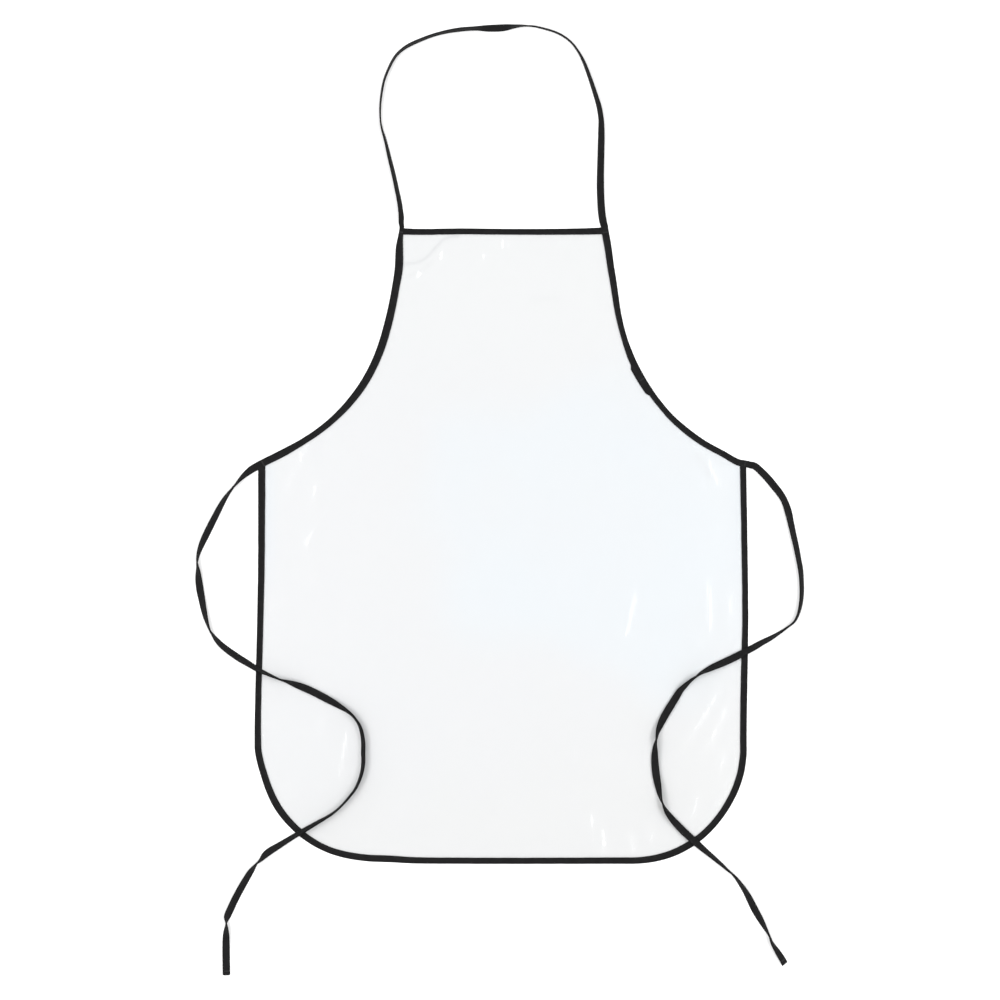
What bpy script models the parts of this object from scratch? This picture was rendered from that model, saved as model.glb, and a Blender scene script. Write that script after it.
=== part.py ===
"""Clear vinyl bib apron, laid out flat with its front facing up.

One see-through sheet has every edge bound in folded woven tape. Past the sheet's corners the
same tape runs on as a neck loop and two waist ties, which lie twisted on the surface and, in
part, on the sheet.

Frame: metres. X runs across the apron, Y from hem to neck and Z up off the surface that it
lies on. The origin is the middle of the bound sheet, on that surface. Left and right are as
seen here, from above the front.
"""

import math

import bmesh
import bpy
from mathutils import Matrix, Vector

MM = 0.001

# ---- Finished edge of the sheet (right half; the left half mirrors it) ----
HALF_HEIGHT = 0.3733          # middle to the bib's top edge, and to the hem
BIB_HALF_WIDTH = 0.1218
WAIST_HALF_WIDTH = 0.2875     # where the armhole meets the side
WAIST_HEIGHT = 0.098
SKIRT_HALF_WIDTH = 0.2895     # where the side meets the round lower corner
SIDE_FOOT_HEIGHT = -0.235
HEM_HALF_LENGTH = 0.148       # the hem's straight stretch

ARMHOLE_BIB_HANDLE = Vector((0.143, 0.239))
ARMHOLE_WAIST_HANDLE = Vector((0.1425, 0.1675))
CORNER_SIDE_HANDLE = Vector((SKIRT_HALF_WIDTH, -0.280))
CORNER_HEM_HANDLE = Vector((0.249, -HALF_HEIGHT))
ARMHOLE_STEPS = 22
CORNER_STEPS = 13

# ---- Sheet and binding tape ----
FILM = 0.00025                # vinyl thickness
TAPE = 0.00035                # one layer of woven tape
LAYER_GAP = 0.0001            # between the film and the tape on either side of it
BINDING_TOP = 2 * TAPE + 2 * LAYER_GAP + FILM
FILM_BOTTOM = TAPE + LAYER_GAP
FILM_INSET = TAPE + 0.00025   # the film stops short of the tape's fold

BIB_TAPE = 0.0070             # width of each folded binding
SIDE_TAPE = 0.0075
LEFT_ARMHOLE_TAPE = 0.0090
RIGHT_ARMHOLE_TAPE = 0.0072
SEAM_GAP = 0.0003
SIDE_TOP_GAP = 0.0006

# ---- The join between the two lengths of tape, on the right armhole ----
SPLICE_HEIGHT = 0.195         # where the two bindings meet
LAP_LOW = 0.178
LAP_HIGH = 0.2115
LAP_OVERHANG = 0.0030         # the lap reaches this far past the binding's inner edge
LAP_SETBACK = 0.0008          # and starts this far inside the finished edge

# ---- Free tape: neck loop and waist ties ----
NECK_TAPE = 0.0082
TIE_TAPE = 0.0086
STRAP_THICKNESS = 0.0009      # both layers of the folded tape
STRAP_EDGE = 0.0005           # each long edge thins to a line over this width
STRAP_STATION = 0.0130        # spacing of the sections along a strap that doesn't twist
STRAP_TWIST = math.radians(18)   # most twist from one section to the next
FINE_STEP = 0.001             # for finding places along a strap

# ---- Stitching ----
THREAD_WIDTH = 0.00036
THREAD_HEIGHT = 0.0002
THREAD_LIFT = 0.00015         # clear of the tape below it
STITCH_INSET = 0.0015         # from the tape's open edge
TACK_LENGTH = 0.0062          # across the tape
TACK_WIDTH = 0.0018           # along the tape
TACK_HEIGHT = 0.0003
TACK_SHOULDER = 0.0002
TACK_TO_SEAM = 0.0040         # bar tack's middle to the end of the binding
STITCH_TO_TACK = 0.0016       # end of a row of stitching to the tack's middle
TIE_TACK_TO_END = 0.0050

# ---- Hinge lines ----
NECK_HINGE_HEIGHT = 0.0016    # just above the tape, so the loop folds over on top of the bib
TIE_PIVOT_OUTSET = 0.0002     # past the tie's outer corner

# Each route is x, y, the height of what the tape lies on, all in millimetres, and the tape's
# roll about its own line in degrees: 0 lies flat, 90 stands on edge, 180 is the other way up.
NECK_STRAP_ROUTE = [
    (-118.6, 373.7, 0, 0),
    (-118.6, 376.2, 0, 0),
    (-119.4, 382.0, 0, 28),
    (-120.6, 391.0, 0, 54),
    (-122.4, 403.0, 0, 60),
    (-127.6, 429.5, 0, 66),
    (-134.3, 457.0, 0, 70),
    (-139.0, 477.5, 0, 78),
    (-143.6, 495.0, 0, 86),
    (-145.0, 511.0, 0, 92),
    (-143.9, 527.0, 0, 97),
    (-140.4, 546.0, 0, 99),
    (-134.2, 562.0, 0, 102),
    (-125.5, 577.0, 0, 105),
    (-112.2, 588.1, 0, 109),
    (-93.0, 596.6, 0, 109),
    (-72.2, 603.2, 0, 109),
    (-52.0, 606.9, 0, 115),
    (-32.0, 608.3, 0, 120),
    (-15.6, 608.6, 0, 148),
    (-1.5, 609.3, 0, 150),
    (12.6, 610.8, 0, 113),
    (26.8, 611.6, 0, 91),
    (41.0, 610.1, 0, 84),
    (60.0, 604.4, 0, 82),
    (78.5, 593.0, 0, 81),
    (88.2, 581.0, 0, 78),
    (94.9, 568.5, 0, 73),
    (102.4, 549.0, 0, 67),
    (109.2, 528.3, 0, 60),
    (113.0, 515.1, 0, 54),
    (115.1, 501.0, 0, 47),
    (115.3, 485.0, 0, 36),
    (114.8, 464.0, 0, 27),
    (114.0, 436.0, 0, 20),
    (114.1, 415.0, 0, 15),
    (115.2, 396.0, 0, 14),
    (117.0, 383.0, 0, 8),
    (118.2, 376.2, 0, 0),
    (118.2, 373.7, 0, 0),
]
LEFT_TIE_ROUTE = [
    (-285.9, 93.8, 0, 0),
    (-288.6, 92.5, 0, 0),
    (-297.7, 88.4, 0, 28),
    (-308.5, 79.6, 0, 64),
    (-316.0, 70.3, 0, 90),
    (-326.5, 57.2, 0, 119),
    (-338.0, 36.5, 0, 142),
    (-350.5, 11.5, 0, 146),
    (-357.4, -6.1, 0, 120),
    (-359.4, -20.1, 0, 90),
    (-358.5, -34.7, 0, 44),
    (-356.6, -48.8, 0, 22),
    (-351.4, -77.5, 0, 50),
    (-345.0, -98.0, 0, 90),
    (-333.4, -113.9, 0, 132),
    (-312.0, -130.5, 0.4, 147),
    (-298.0, -139.4, 1.9, 136),
    (-287.0, -145.6, 2.0, 121),
    (-261.5, -156.6, 2.0, 90),
    (-245.1, -162.1, 2.0, 46),
    (-229.0, -168.4, 2.0, 12),
    (-212.0, -176.6, 2.0, 8),
    (-194.2, -186.6, 2.0, 46),
    (-176.5, -200.5, 2.0, 74),
    (-168.0, -217.0, 2.0, 64),
    (-164.6, -247.0, 2.0, 59),
    (-174.5, -285.5, 2.0, 74),
    (-193.5, -307.8, 2.0, 81),
    (-219.7, -325.0, 2.0, 66),
    (-244.0, -340.0, 2.0, 52),
    (-263.0, -351.0, 0.8, 40),
    (-279.9, -362.1, 0, 44),
    (-288.5, -372.5, 0, 90),
    (-298.0, -384.1, 0, 132),
    (-315.0, -413.5, 0, 153),
    (-324.0, -434.5, 0, 138),
    (-325.5, -444.0, 0, 88),
    (-325.7, -460.0, 0, 38),
    (-325.6, -486.0, 0, 6),
    (-325.5, -504.2, 0, 0),
]
RIGHT_TIE_ROUTE = [
    (286.6, 95.3, 0, 0),
    (289.3, 94.1, 0, 0),
    (296.6, 92.6, 0, 24),
    (305.9, 84.9, 0, 26),
    (315.3, 74.4, 0, 22),
    (327.6, 57.8, 0, 29),
    (335.4, 37.0, 0, 35),
    (341.5, 9.9, 0, 45),
    (347.3, -17.7, 0, 52),
    (350.4, -42.0, 0, 59),
    (349.2, -68.0, 0, 68),
    (343.1, -86.4, 0, 86),
    (332.7, -96.0, 0, 96),
    (320.9, -103.8, 0, 112),
    (308.5, -110.6, 0.5, 128),
    (296.6, -117.2, 1.9, 142),
    (284.8, -123.2, 2.0, 149),
    (271.0, -130.5, 2.0, 168),
    (258.3, -136.5, 2.0, 160),
    (243.0, -143.5, 2.0, 134),
    (226.4, -154.1, 2.0, 90),
    (210.2, -166.6, 2.0, 45),
    (201.7, -178.3, 2.0, 6),
    (188.6, -200.5, 2.0, 8),
    (179.8, -226.2, 2.0, 90),
    (177.3, -244.6, 2.0, 150),
    (178.2, -265.0, 2.0, 172),
    (182.6, -287.0, 2.0, 132),
    (187.8, -302.7, 2.0, 90),
    (192.8, -313.8, 2.0, 51),
    (206.5, -330.0, 2.0, 10),
    (224.4, -346.6, 2.0, 30),
    (239.5, -359.6, 1.0, 52),
    (254.5, -372.3, 0, 68),
    (265.1, -381.5, 0, 88),
    (283.1, -403.6, 0, 128),
    (297.5, -430.5, 0, 152),
    (313.5, -459.3, 0, 90),
    (323.2, -478.5, 0, 45),
    (331.4, -490.4, 0, 28),
]

# ---- Colours ----
VINYL_COLOUR = (0.89, 0.93, 0.95, 1.0)
TAPE_COLOUR = (0.021, 0.021, 0.023, 1.0)
THREAD_COLOUR = (0.012, 0.012, 0.013, 1.0)


# ---- Materials ----

def finish(name, colour, roughness, transmission=0.0):
    """A Principled material with no metal in it."""
    material = bpy.data.materials.new(name)
    material.use_nodes = True
    shader = material.node_tree.nodes["Principled BSDF"]
    shader.inputs["Base Color"].default_value = colour
    shader.inputs["Roughness"].default_value = roughness
    shader.inputs["Metallic"].default_value = 0.0
    shader.inputs["Transmission Weight"].default_value = transmission
    material.diffuse_color = colour
    return material


# ---- Solids ----

def solid(name, rings, material, pivot=None):
    """Skin a row of equal rings of points, cap both ends and make the result an object."""
    shape = bmesh.new()
    skins = [[shape.verts.new(point) for point in ring] for ring in rings]
    count = len(rings[0])
    for near, far in zip(skins, skins[1:]):
        for i in range(count):
            j = (i + 1) % count
            shape.faces.new((near[i], near[j], far[j], far[i]))
    shape.faces.new(skins[0])
    shape.faces.new(skins[-1])
    return closed_object(name, shape, material, pivot)


def closed_object(name, shape, material, pivot=None):
    """Turn a closed bmesh into an object, under its hinge's empty if it has one."""
    bmesh.ops.recalc_face_normals(shape, faces=shape.faces)
    mesh = bpy.data.meshes.new(name)
    shape.to_mesh(mesh)
    shape.free()
    mesh.materials.append(material)
    piece = bpy.data.objects.new(name, mesh)
    bpy.context.collection.objects.link(piece)
    if pivot is not None:
        mesh.transform(Matrix.Translation(-pivot.location))
        piece.parent = pivot
    return piece


def hinge_empty(name, location):
    """An empty on a hinge's axis, which carries everything that turns on it."""
    pivot = bpy.data.objects.new(name, None)
    pivot.location = location
    bpy.context.collection.objects.link(pivot)
    return pivot


# ---- Lines on the sheet, all running anticlockwise, so that inward is to their left ----

def bezier(start, start_handle, end_handle, end, steps):
    """Points along a cubic Bezier curve, both ends included."""
    points = []
    for i in range(steps + 1):
        t = i / steps
        s = 1 - t
        points.append(s ** 3 * start + 3 * s * s * t * start_handle
                      + 3 * s * t * t * end_handle + t ** 3 * end)
    return points


def mirrored(line):
    """The same line on the other half of the sheet, still anticlockwise."""
    return [Vector((-point.x, point.y)) for point in reversed(line)]


def travel_at(line, i):
    """Unit direction of travel at a point of a line."""
    ahead = line[min(i + 1, len(line) - 1)]
    behind = line[max(i - 1, 0)]
    return (ahead - behind).normalized()


def left_of(direction):
    return Vector((-direction.y, direction.x))


def inset(line, distance):
    """A line moved inward."""
    return [point + distance * left_of(travel_at(line, i)) for i, point in enumerate(line)]


def stretch_of(line, start, end):
    """The part of a line between two distances along it."""
    points = []
    along = 0.0
    for a, b in zip(line, line[1:]):
        span = (b - a).length
        if along + span > start and not points:
            points.append(a.lerp(b, (start - along) / span))
        if start < along + span < end:
            points.append(b)
        if along + span >= end:
            points.append(a.lerp(b, (end - along) / span))
            return points
        along += span
    points.append(line[-1])
    return points


def length_of(line):
    return sum((b - a).length for a, b in zip(line, line[1:]))


def distance_to_height(line, height):
    """Distance along a rising line to the point that has this height."""
    along = 0.0
    for a, b in zip(line, line[1:]):
        if b.y >= height:
            return along + (b - a).length * (height - a.y) / (b.y - a.y)
        along += (b - a).length
    return along


def side_x(height):
    """Half width of the sheet at a height on its straight side."""
    drop = (WAIST_HEIGHT - height) / (WAIST_HEIGHT - SIDE_FOOT_HEIGHT)
    return WAIST_HALF_WIDTH + drop * (SKIRT_HALF_WIDTH - WAIST_HALF_WIDTH)


BIB_CORNER = Vector((BIB_HALF_WIDTH, HALF_HEIGHT))
WAIST_CORNER = Vector((WAIST_HALF_WIDTH, WAIST_HEIGHT))
RIGHT_ARMHOLE = bezier(WAIST_CORNER, ARMHOLE_WAIST_HANDLE, ARMHOLE_BIB_HANDLE, BIB_CORNER,
                       ARMHOLE_STEPS)
LEFT_ARMHOLE = mirrored(RIGHT_ARMHOLE)
WAIST_OUTWARD = (WAIST_CORNER - ARMHOLE_WAIST_HANDLE).normalized()
WAIST_SLOPE = -WAIST_OUTWARD.y / WAIST_OUTWARD.x
BIB_UPWARD = (BIB_CORNER - ARMHOLE_BIB_HANDLE).normalized()
BIB_SLOPE = -BIB_UPWARD.x / BIB_UPWARD.y


def side_top(armhole_tape):
    """Height at which a side binding stops, just under the armhole's tape."""
    return WAIST_HEIGHT - armhole_tape / WAIST_OUTWARD.x - SIDE_TOP_GAP


def side_and_hem_line():
    """From the left waist down, round both lower corners and up to the right waist."""
    foot = Vector((SKIRT_HALF_WIDTH, SIDE_FOOT_HEIGHT))
    hem_end = Vector((HEM_HALF_LENGTH, -HALF_HEIGHT))
    right_corner = bezier(hem_end, CORNER_HEM_HANDLE, CORNER_SIDE_HANDLE, foot, CORNER_STEPS)
    left_top = side_top(LEFT_ARMHOLE_TAPE)
    right_top = side_top(RIGHT_ARMHOLE_TAPE)
    start = [Vector((-side_x(left_top), left_top))]
    end = [Vector((side_x(right_top), right_top))]
    return start + mirrored(right_corner) + right_corner + end


# ---- Pieces made along a line on the sheet ----

def along_edge(name, line, section, material, start_slope=0.0, end_slope=0.0):
    """Sweep a section of (inward distance, height) points along a line.

    A slope cuts that end at a slant: it is the shift forward for each metre inward.
    """
    rings = []
    last = len(line) - 1
    for i, point in enumerate(line):
        travel = travel_at(line, i)
        inward = left_of(travel)
        slope = start_slope if i == 0 else end_slope if i == last else 0.0
        ring = []
        for depth, height in section:
            place = point + depth * inward + depth * slope * travel
            ring.append(Vector((place.x, place.y, height)))
        rings.append(ring)
    return solid(name, rings, material)


def folded_tape(width):
    """Section of a tape folded round the sheet's edge: a flat C that opens inward."""
    return [
        (0.0, 0.0),
        (width, 0.0),
        (width, TAPE),
        (TAPE, TAPE),
        (TAPE, BINDING_TOP - TAPE),
        (width, BINDING_TOP - TAPE),
        (width, BINDING_TOP),
        (0.0, BINDING_TOP),
    ]


def thread_section(middle, bottom):
    """Section of a row of stitching."""
    half = THREAD_WIDTH / 2
    return [
        (middle - half, bottom),
        (middle + half, bottom),
        (middle + half, bottom + THREAD_HEIGHT),
        (middle - half, bottom + THREAD_HEIGHT),
    ]


def tack_section(middle, bottom):
    """Section of a bar tack: a dense little bar with sloped shoulders."""
    half = TACK_LENGTH / 2
    top = bottom + TACK_HEIGHT
    return [
        (middle - half, bottom),
        (middle + half, bottom),
        (middle + half, top - TACK_SHOULDER / 2),
        (middle + half - TACK_SHOULDER, top),
        (middle - half + TACK_SHOULDER, top),
        (middle - half, top - TACK_SHOULDER / 2),
    ]


def edge_tack(name, line, distance, tape_width, base, material):
    """A bar tack across a binding, its middle this far along the line."""
    bar = stretch_of(line, distance - TACK_WIDTH / 2, distance + TACK_WIDTH / 2)
    ends = [bar[0], bar[-1]]
    return along_edge(name, ends, tack_section(tape_width / 2, base + THREAD_LIFT), material)


def film_outline():
    """The vinyl's own edge, inside the fold of every binding and clear of the ties."""
    lower = inset(side_and_hem_line(), FILM_INSET)
    right = inset(RIGHT_ARMHOLE, FILM_INSET)[1:-1]
    left = inset(LEFT_ARMHOLE, FILM_INSET)[1:-1]
    bib_corner = Vector((BIB_HALF_WIDTH - FILM_INSET, HALF_HEIGHT - FILM_INSET))
    return (
        lower
        + waist_notch(RIGHT_ARMHOLE_TAPE)
        + right
        + [bib_corner, Vector((-bib_corner.x, bib_corner.y))]
        + left
        + mirrored(waist_notch(LEFT_ARMHOLE_TAPE))
    )


def waist_notch(armhole_tape):
    """Two corners of the film beside the armhole binding's end, going up the right side."""
    inward = left_of(-WAIST_OUTWARD)
    back = -(SEAM_GAP + LAYER_GAP) * WAIST_OUTWARD
    low = WAIST_CORNER + back + (armhole_tape + SEAM_GAP + LAYER_GAP) * inward
    high = WAIST_CORNER + back + FILM_INSET * inward
    return [low, high]


def vinyl_panel(material):
    """The clear sheet, a flat film held between the two layers of every binding."""
    shape = bmesh.new()
    rim = [shape.verts.new((point.x, point.y, FILM_BOTTOM)) for point in film_outline()]
    floor = shape.faces.new(rim)
    grown = bmesh.ops.extrude_face_region(shape, geom=[floor], use_keep_orig=True)
    raised = [item for item in grown["geom"] if isinstance(item, bmesh.types.BMVert)]
    bmesh.ops.translate(shape, vec=(0.0, 0.0, FILM), verts=raised)
    return closed_object("vinyl_panel", shape, material)


# ---- Pieces made along a free strap ----

class Strap:
    """A smooth line through a route's points, with the tape's roll about it."""

    def __init__(self, route, width, side, open_edge):
        self.rows = [[x * MM, y * MM, lift * MM, math.radians(roll)]
                     for x, y, lift, roll in route]
        self.width = width
        self.side = side
        self.open_edge = open_edge
        self.knots = [0.0]
        for a, b in zip(self.rows, self.rows[1:]):
            self.knots.append(self.knots[-1] + math.hypot(b[0] - a[0], b[1] - a[1]))
        self.length = self.knots[-1]
        self.slopes = [self.slope_at(i) for i in range(len(self.rows))]
        self.stations = self.even_stations()

    def slope_at(self, i):
        """Change of each value per metre at a row, from its neighbours."""
        before = max(i - 1, 0)
        after = min(i + 1, len(self.rows) - 1)
        span = self.knots[after] - self.knots[before]
        return [(b - a) / span for a, b in zip(self.rows[before], self.rows[after])]

    def values_at(self, distance):
        """x, y, lift and roll at a distance, by a cubic between the two nearest rows."""
        i = 0
        while i < len(self.rows) - 2 and self.knots[i + 1] < distance:
            i += 1
        span = self.knots[i + 1] - self.knots[i]
        t = (distance - self.knots[i]) / span
        s = 1 - t
        values = []
        for k in range(4):
            start_handle = self.rows[i][k] + self.slopes[i][k] * span / 3
            end_handle = self.rows[i + 1][k] - self.slopes[i + 1][k] * span / 3
            values.append(s ** 3 * self.rows[i][k] + 3 * s * s * t * start_handle
                          + 3 * s * t * t * end_handle + t ** 3 * self.rows[i + 1][k])
        return values

    def frame_at(self, distance):
        """The tape's middle, and the directions across it and out of its face."""
        step = 0.0005
        x, y, lift, roll = self.values_at(distance)
        ahead = self.values_at(min(distance + step, self.length))
        behind = self.values_at(max(distance - step, 0.0))
        travel = Vector((ahead[0] - behind[0], ahead[1] - behind[1])).normalized()
        flat = left_of(travel) * self.side
        across = Vector((flat.x * math.cos(roll), flat.y * math.cos(roll), math.sin(roll)))
        up = Vector((-flat.x * math.sin(roll), -flat.y * math.sin(roll), math.cos(roll)))
        rise = (abs(math.sin(roll)) * self.width + abs(math.cos(roll)) * STRAP_THICKNESS) / 2
        middle = Vector((x, y, max(lift, 0.0) + rise))
        return middle, across, up

    def even_stations(self):
        """Distances of the sections: a full station apart, and closer where the tape twists."""
        fine = round(self.length / FINE_STEP)
        distances = [self.length * i / fine for i in range(fine + 1)]
        rolls = [self.values_at(d)[3] for d in distances]
        effort = [0.0]
        for a, b in zip(rolls, rolls[1:]):
            along = self.length / fine / STRAP_STATION
            effort.append(effort[-1] + math.hypot(along, (b - a) / STRAP_TWIST))
        count = math.ceil(effort[-1])
        chosen = [0.0]
        for distance, reached in zip(distances, effort):
            if reached >= effort[-1] * len(chosen) / count:
                chosen.append(distance)
        return chosen[:count] + [self.length]

    def stations_between(self, start, end):
        """Distances of the sections from start to end.

        The tape and its stitching bend at the same places, so they never cut into each other.
        """
        margin = STRAP_STATION / 10
        inside = [d for d in self.stations if start + margin < d < end - margin]
        return [start] + inside + [end]

    def ring_at(self, distance, section):
        """The section's points at a distance, on the straight run between two stations."""
        i = 0
        while i < len(self.stations) - 2 and self.stations[i + 1] < distance:
            i += 1
        near, far = self.stations[i], self.stations[i + 1]
        share = (distance - near) / (far - near)
        rings = []
        for station in (near, far):
            middle, across, up = self.frame_at(station)
            rings.append([middle + v * across + w * up for v, w in section])
        return [a.lerp(b, share) for a, b in zip(*rings)]

    def sweep(self, name, section, start, end, material, pivot):
        """Sweep a section of (across, out of the face) points between two distances."""
        rings = [self.ring_at(distance, section) for distance in self.stations_between(start, end)]
        return solid(name, rings, material, pivot)

    def tape(self, name, material, pivot):
        """The folded tape itself, with an edge on each side of its row of stitching."""
        half = self.width / 2
        flat = half - STRAP_EDGE
        face = STRAP_THICKNESS / 2
        seam = self.open_edge * (half - STITCH_INSET)
        section = [(-half, 0.0), (-flat, -face), (flat, -face), (half, 0.0), (flat, face),
                   (seam + THREAD_WIDTH, face), (seam - THREAD_WIDTH, face), (-flat, face)]
        return self.sweep(name, section, 0.0, self.length, material, pivot)

    def stitching(self, name, start, end, material, pivot):
        """The row of stitching along the tape's open edge."""
        middle = self.open_edge * (self.width / 2 - STITCH_INSET)
        section = thread_section(middle, STRAP_THICKNESS / 2 + THREAD_LIFT)
        return self.sweep(name, section, start, end, material, pivot)

    def make_room_for_tack(self, distance):
        """Give the tape a section at each side of a bar tack, so that the tack lies on it."""
        for edge in (distance - TACK_WIDTH / 2, distance + TACK_WIDTH / 2):
            self.stations = sorted(self.stations + [edge])

    def tack(self, name, distance, material, pivot):
        """A bar tack across the tape."""
        section = tack_section(0.0, STRAP_THICKNESS / 2 + THREAD_LIFT)
        half = TACK_WIDTH / 2
        return self.sweep(name, section, distance - half, distance + half, material, pivot)


# ---- The apron, piece by piece ----

def build_bindings(tape):
    """Every folded tape that is sewn to the sheet."""
    side_and_hem = side_and_hem_line()
    along_edge("side_and_hem_binding", side_and_hem, folded_tape(SIDE_TAPE), tape,
               start_slope=-WAIST_SLOPE, end_slope=WAIST_SLOPE)

    armhole_inner = {1: RIGHT_ARMHOLE_TAPE, -1: LEFT_ARMHOLE_TAPE}
    bib_ends = [side * (BIB_HALF_WIDTH - inner / BIB_UPWARD.y - SEAM_GAP)
                for side, inner in armhole_inner.items()]
    bib_line = [Vector((x, HALF_HEIGHT)) for x in bib_ends]
    along_edge("bib_top_binding", bib_line, folded_tape(BIB_TAPE), tape)

    along_edge("left_armhole_binding", LEFT_ARMHOLE, folded_tape(LEFT_ARMHOLE_TAPE), tape,
               start_slope=-BIB_SLOPE)

    join = distance_to_height(RIGHT_ARMHOLE, SPLICE_HEIGHT)
    whole = length_of(RIGHT_ARMHOLE)
    section = folded_tape(RIGHT_ARMHOLE_TAPE)
    lower = stretch_of(RIGHT_ARMHOLE, 0.0, join - SEAM_GAP / 2)
    upper = stretch_of(RIGHT_ARMHOLE, join + SEAM_GAP / 2, whole)
    along_edge("right_armhole_lower_binding", lower, section, tape)
    along_edge("right_armhole_upper_binding", upper, section, tape, end_slope=BIB_SLOPE)

    lap_start = distance_to_height(RIGHT_ARMHOLE, LAP_LOW)
    lap_end = distance_to_height(RIGHT_ARMHOLE, LAP_HIGH)
    lap_bottom = BINDING_TOP + THREAD_LIFT
    lap = [
        (LAP_SETBACK, lap_bottom),
        (RIGHT_ARMHOLE_TAPE + LAP_OVERHANG, lap_bottom),
        (RIGHT_ARMHOLE_TAPE + LAP_OVERHANG, lap_bottom + TAPE),
        (LAP_SETBACK, lap_bottom + TAPE),
    ]
    along_edge("armhole_splice_lap", stretch_of(RIGHT_ARMHOLE, lap_start, lap_end), lap, tape)
    edge_tack("armhole_splice_bar_tack", RIGHT_ARMHOLE, (lap_start + lap_end) / 2,
              RIGHT_ARMHOLE_TAPE + LAP_OVERHANG, lap_bottom + TAPE, thread_material())


def thread_material():
    """The sewing thread's material, made once."""
    return (bpy.data.materials.get("sewing_thread")
            or finish("sewing_thread", THREAD_COLOUR, 0.55))


def build_edge_stitching(thread):
    """The rows of stitching that hold the bindings, and the bar tacks at their corners."""
    bottom = BINDING_TOP + THREAD_LIFT
    clear = TACK_TO_SEAM + STITCH_TO_TACK
    side_and_hem = side_and_hem_line()
    rows = [
        ("side_and_hem_stitching", side_and_hem, SIDE_TAPE,
         STITCH_TO_TACK, length_of(side_and_hem) - STITCH_TO_TACK),
        ("left_armhole_stitching", LEFT_ARMHOLE, LEFT_ARMHOLE_TAPE,
         clear, length_of(LEFT_ARMHOLE) - clear),
        ("right_armhole_lower_stitching", RIGHT_ARMHOLE, RIGHT_ARMHOLE_TAPE,
         clear, distance_to_height(RIGHT_ARMHOLE, LAP_LOW) - STITCH_TO_TACK),
        ("right_armhole_upper_stitching", RIGHT_ARMHOLE, RIGHT_ARMHOLE_TAPE,
         distance_to_height(RIGHT_ARMHOLE, LAP_HIGH) + STITCH_TO_TACK,
         length_of(RIGHT_ARMHOLE) - clear),
    ]
    for name, line, tape_width, start, end in rows:
        section = thread_section(tape_width - STITCH_INSET, bottom)
        along_edge(name, stretch_of(line, start, end), section, thread)

    bib_reach = BIB_HALF_WIDTH - LEFT_ARMHOLE_TAPE - STITCH_TO_TACK
    bib_line = [Vector((bib_reach, HALF_HEIGHT)), Vector((-bib_reach, HALF_HEIGHT))]
    along_edge("bib_top_stitching", bib_line, thread_section(BIB_TAPE - STITCH_INSET, bottom),
               thread)

    tacks = [
        ("left_bib_bar_tack", LEFT_ARMHOLE, LEFT_ARMHOLE_TAPE, TACK_TO_SEAM),
        ("left_waist_bar_tack", LEFT_ARMHOLE, LEFT_ARMHOLE_TAPE,
         length_of(LEFT_ARMHOLE) - TACK_TO_SEAM),
        ("right_waist_bar_tack", RIGHT_ARMHOLE, RIGHT_ARMHOLE_TAPE, TACK_TO_SEAM),
        ("right_bib_bar_tack", RIGHT_ARMHOLE, RIGHT_ARMHOLE_TAPE,
         length_of(RIGHT_ARMHOLE) - TACK_TO_SEAM),
    ]
    for name, line, tape_width, distance in tacks:
        edge_tack(name, line, distance, tape_width, BINDING_TOP, thread)


def build_neck_strap(tape, thread):
    """The loop that goes over the head, hinged along the bib's top edge."""
    strap = Strap(NECK_STRAP_ROUTE, NECK_TAPE, 1, -1)
    pivot = hinge_empty("neck_strap_hinge",
                        (0.0, HALF_HEIGHT + SEAM_GAP / 2, NECK_HINGE_HEIGHT))
    strap.tape("neck_strap", tape, pivot)
    strap.stitching("neck_strap_stitching", STITCH_TO_TACK, strap.length - STITCH_TO_TACK,
                    thread, pivot)


def build_tie(side_name, route, side, tape, thread):
    """A waist tie, hinged at the outer corner of the waist."""
    strap = Strap(route, TIE_TAPE, side, 1)
    start, across, _ = strap.frame_at(0.0)
    corner = start - (TIE_TAPE / 2 + TIE_PIVOT_OUTSET) * across
    pivot = hinge_empty(side_name + "_tie_hinge", (corner.x, corner.y, BINDING_TOP / 2))
    tack_at = strap.length - TIE_TACK_TO_END
    strap.make_room_for_tack(tack_at)
    strap.tape(side_name + "_waist_tie", tape, pivot)
    strap.stitching(side_name + "_tie_stitching", STITCH_TO_TACK, tack_at - STITCH_TO_TACK,
                    thread, pivot)
    strap.tack(side_name + "_tie_end_tack", tack_at, thread, pivot)


def main():
    for item in list(bpy.data.objects):
        bpy.data.objects.remove(item, do_unlink=True)
    vinyl = finish("clear_vinyl", VINYL_COLOUR, 0.12, transmission=0.9)
    tape = finish("woven_tape", TAPE_COLOUR, 0.85)
    thread = thread_material()
    vinyl_panel(vinyl)
    build_bindings(tape)
    build_edge_stitching(thread)
    build_neck_strap(tape, thread)
    build_tie("left", LEFT_TIE_ROUTE, 1, tape, thread)
    build_tie("right", RIGHT_TIE_ROUTE, -1, tape, thread)


main()
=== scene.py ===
"""Looks of the clear vinyl bib apron: film, folded woven tape, stitching, light and camera.

Frame: metres, as in the CAD. X runs across the apron, Y from hem to neck and Z up off the floor.
The origin is the middle of the bound sheet. Left and right are as seen from above the front.
"""

import bisect
import math

import bmesh
import bpy
import numpy as np
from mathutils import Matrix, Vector, noise


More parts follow.
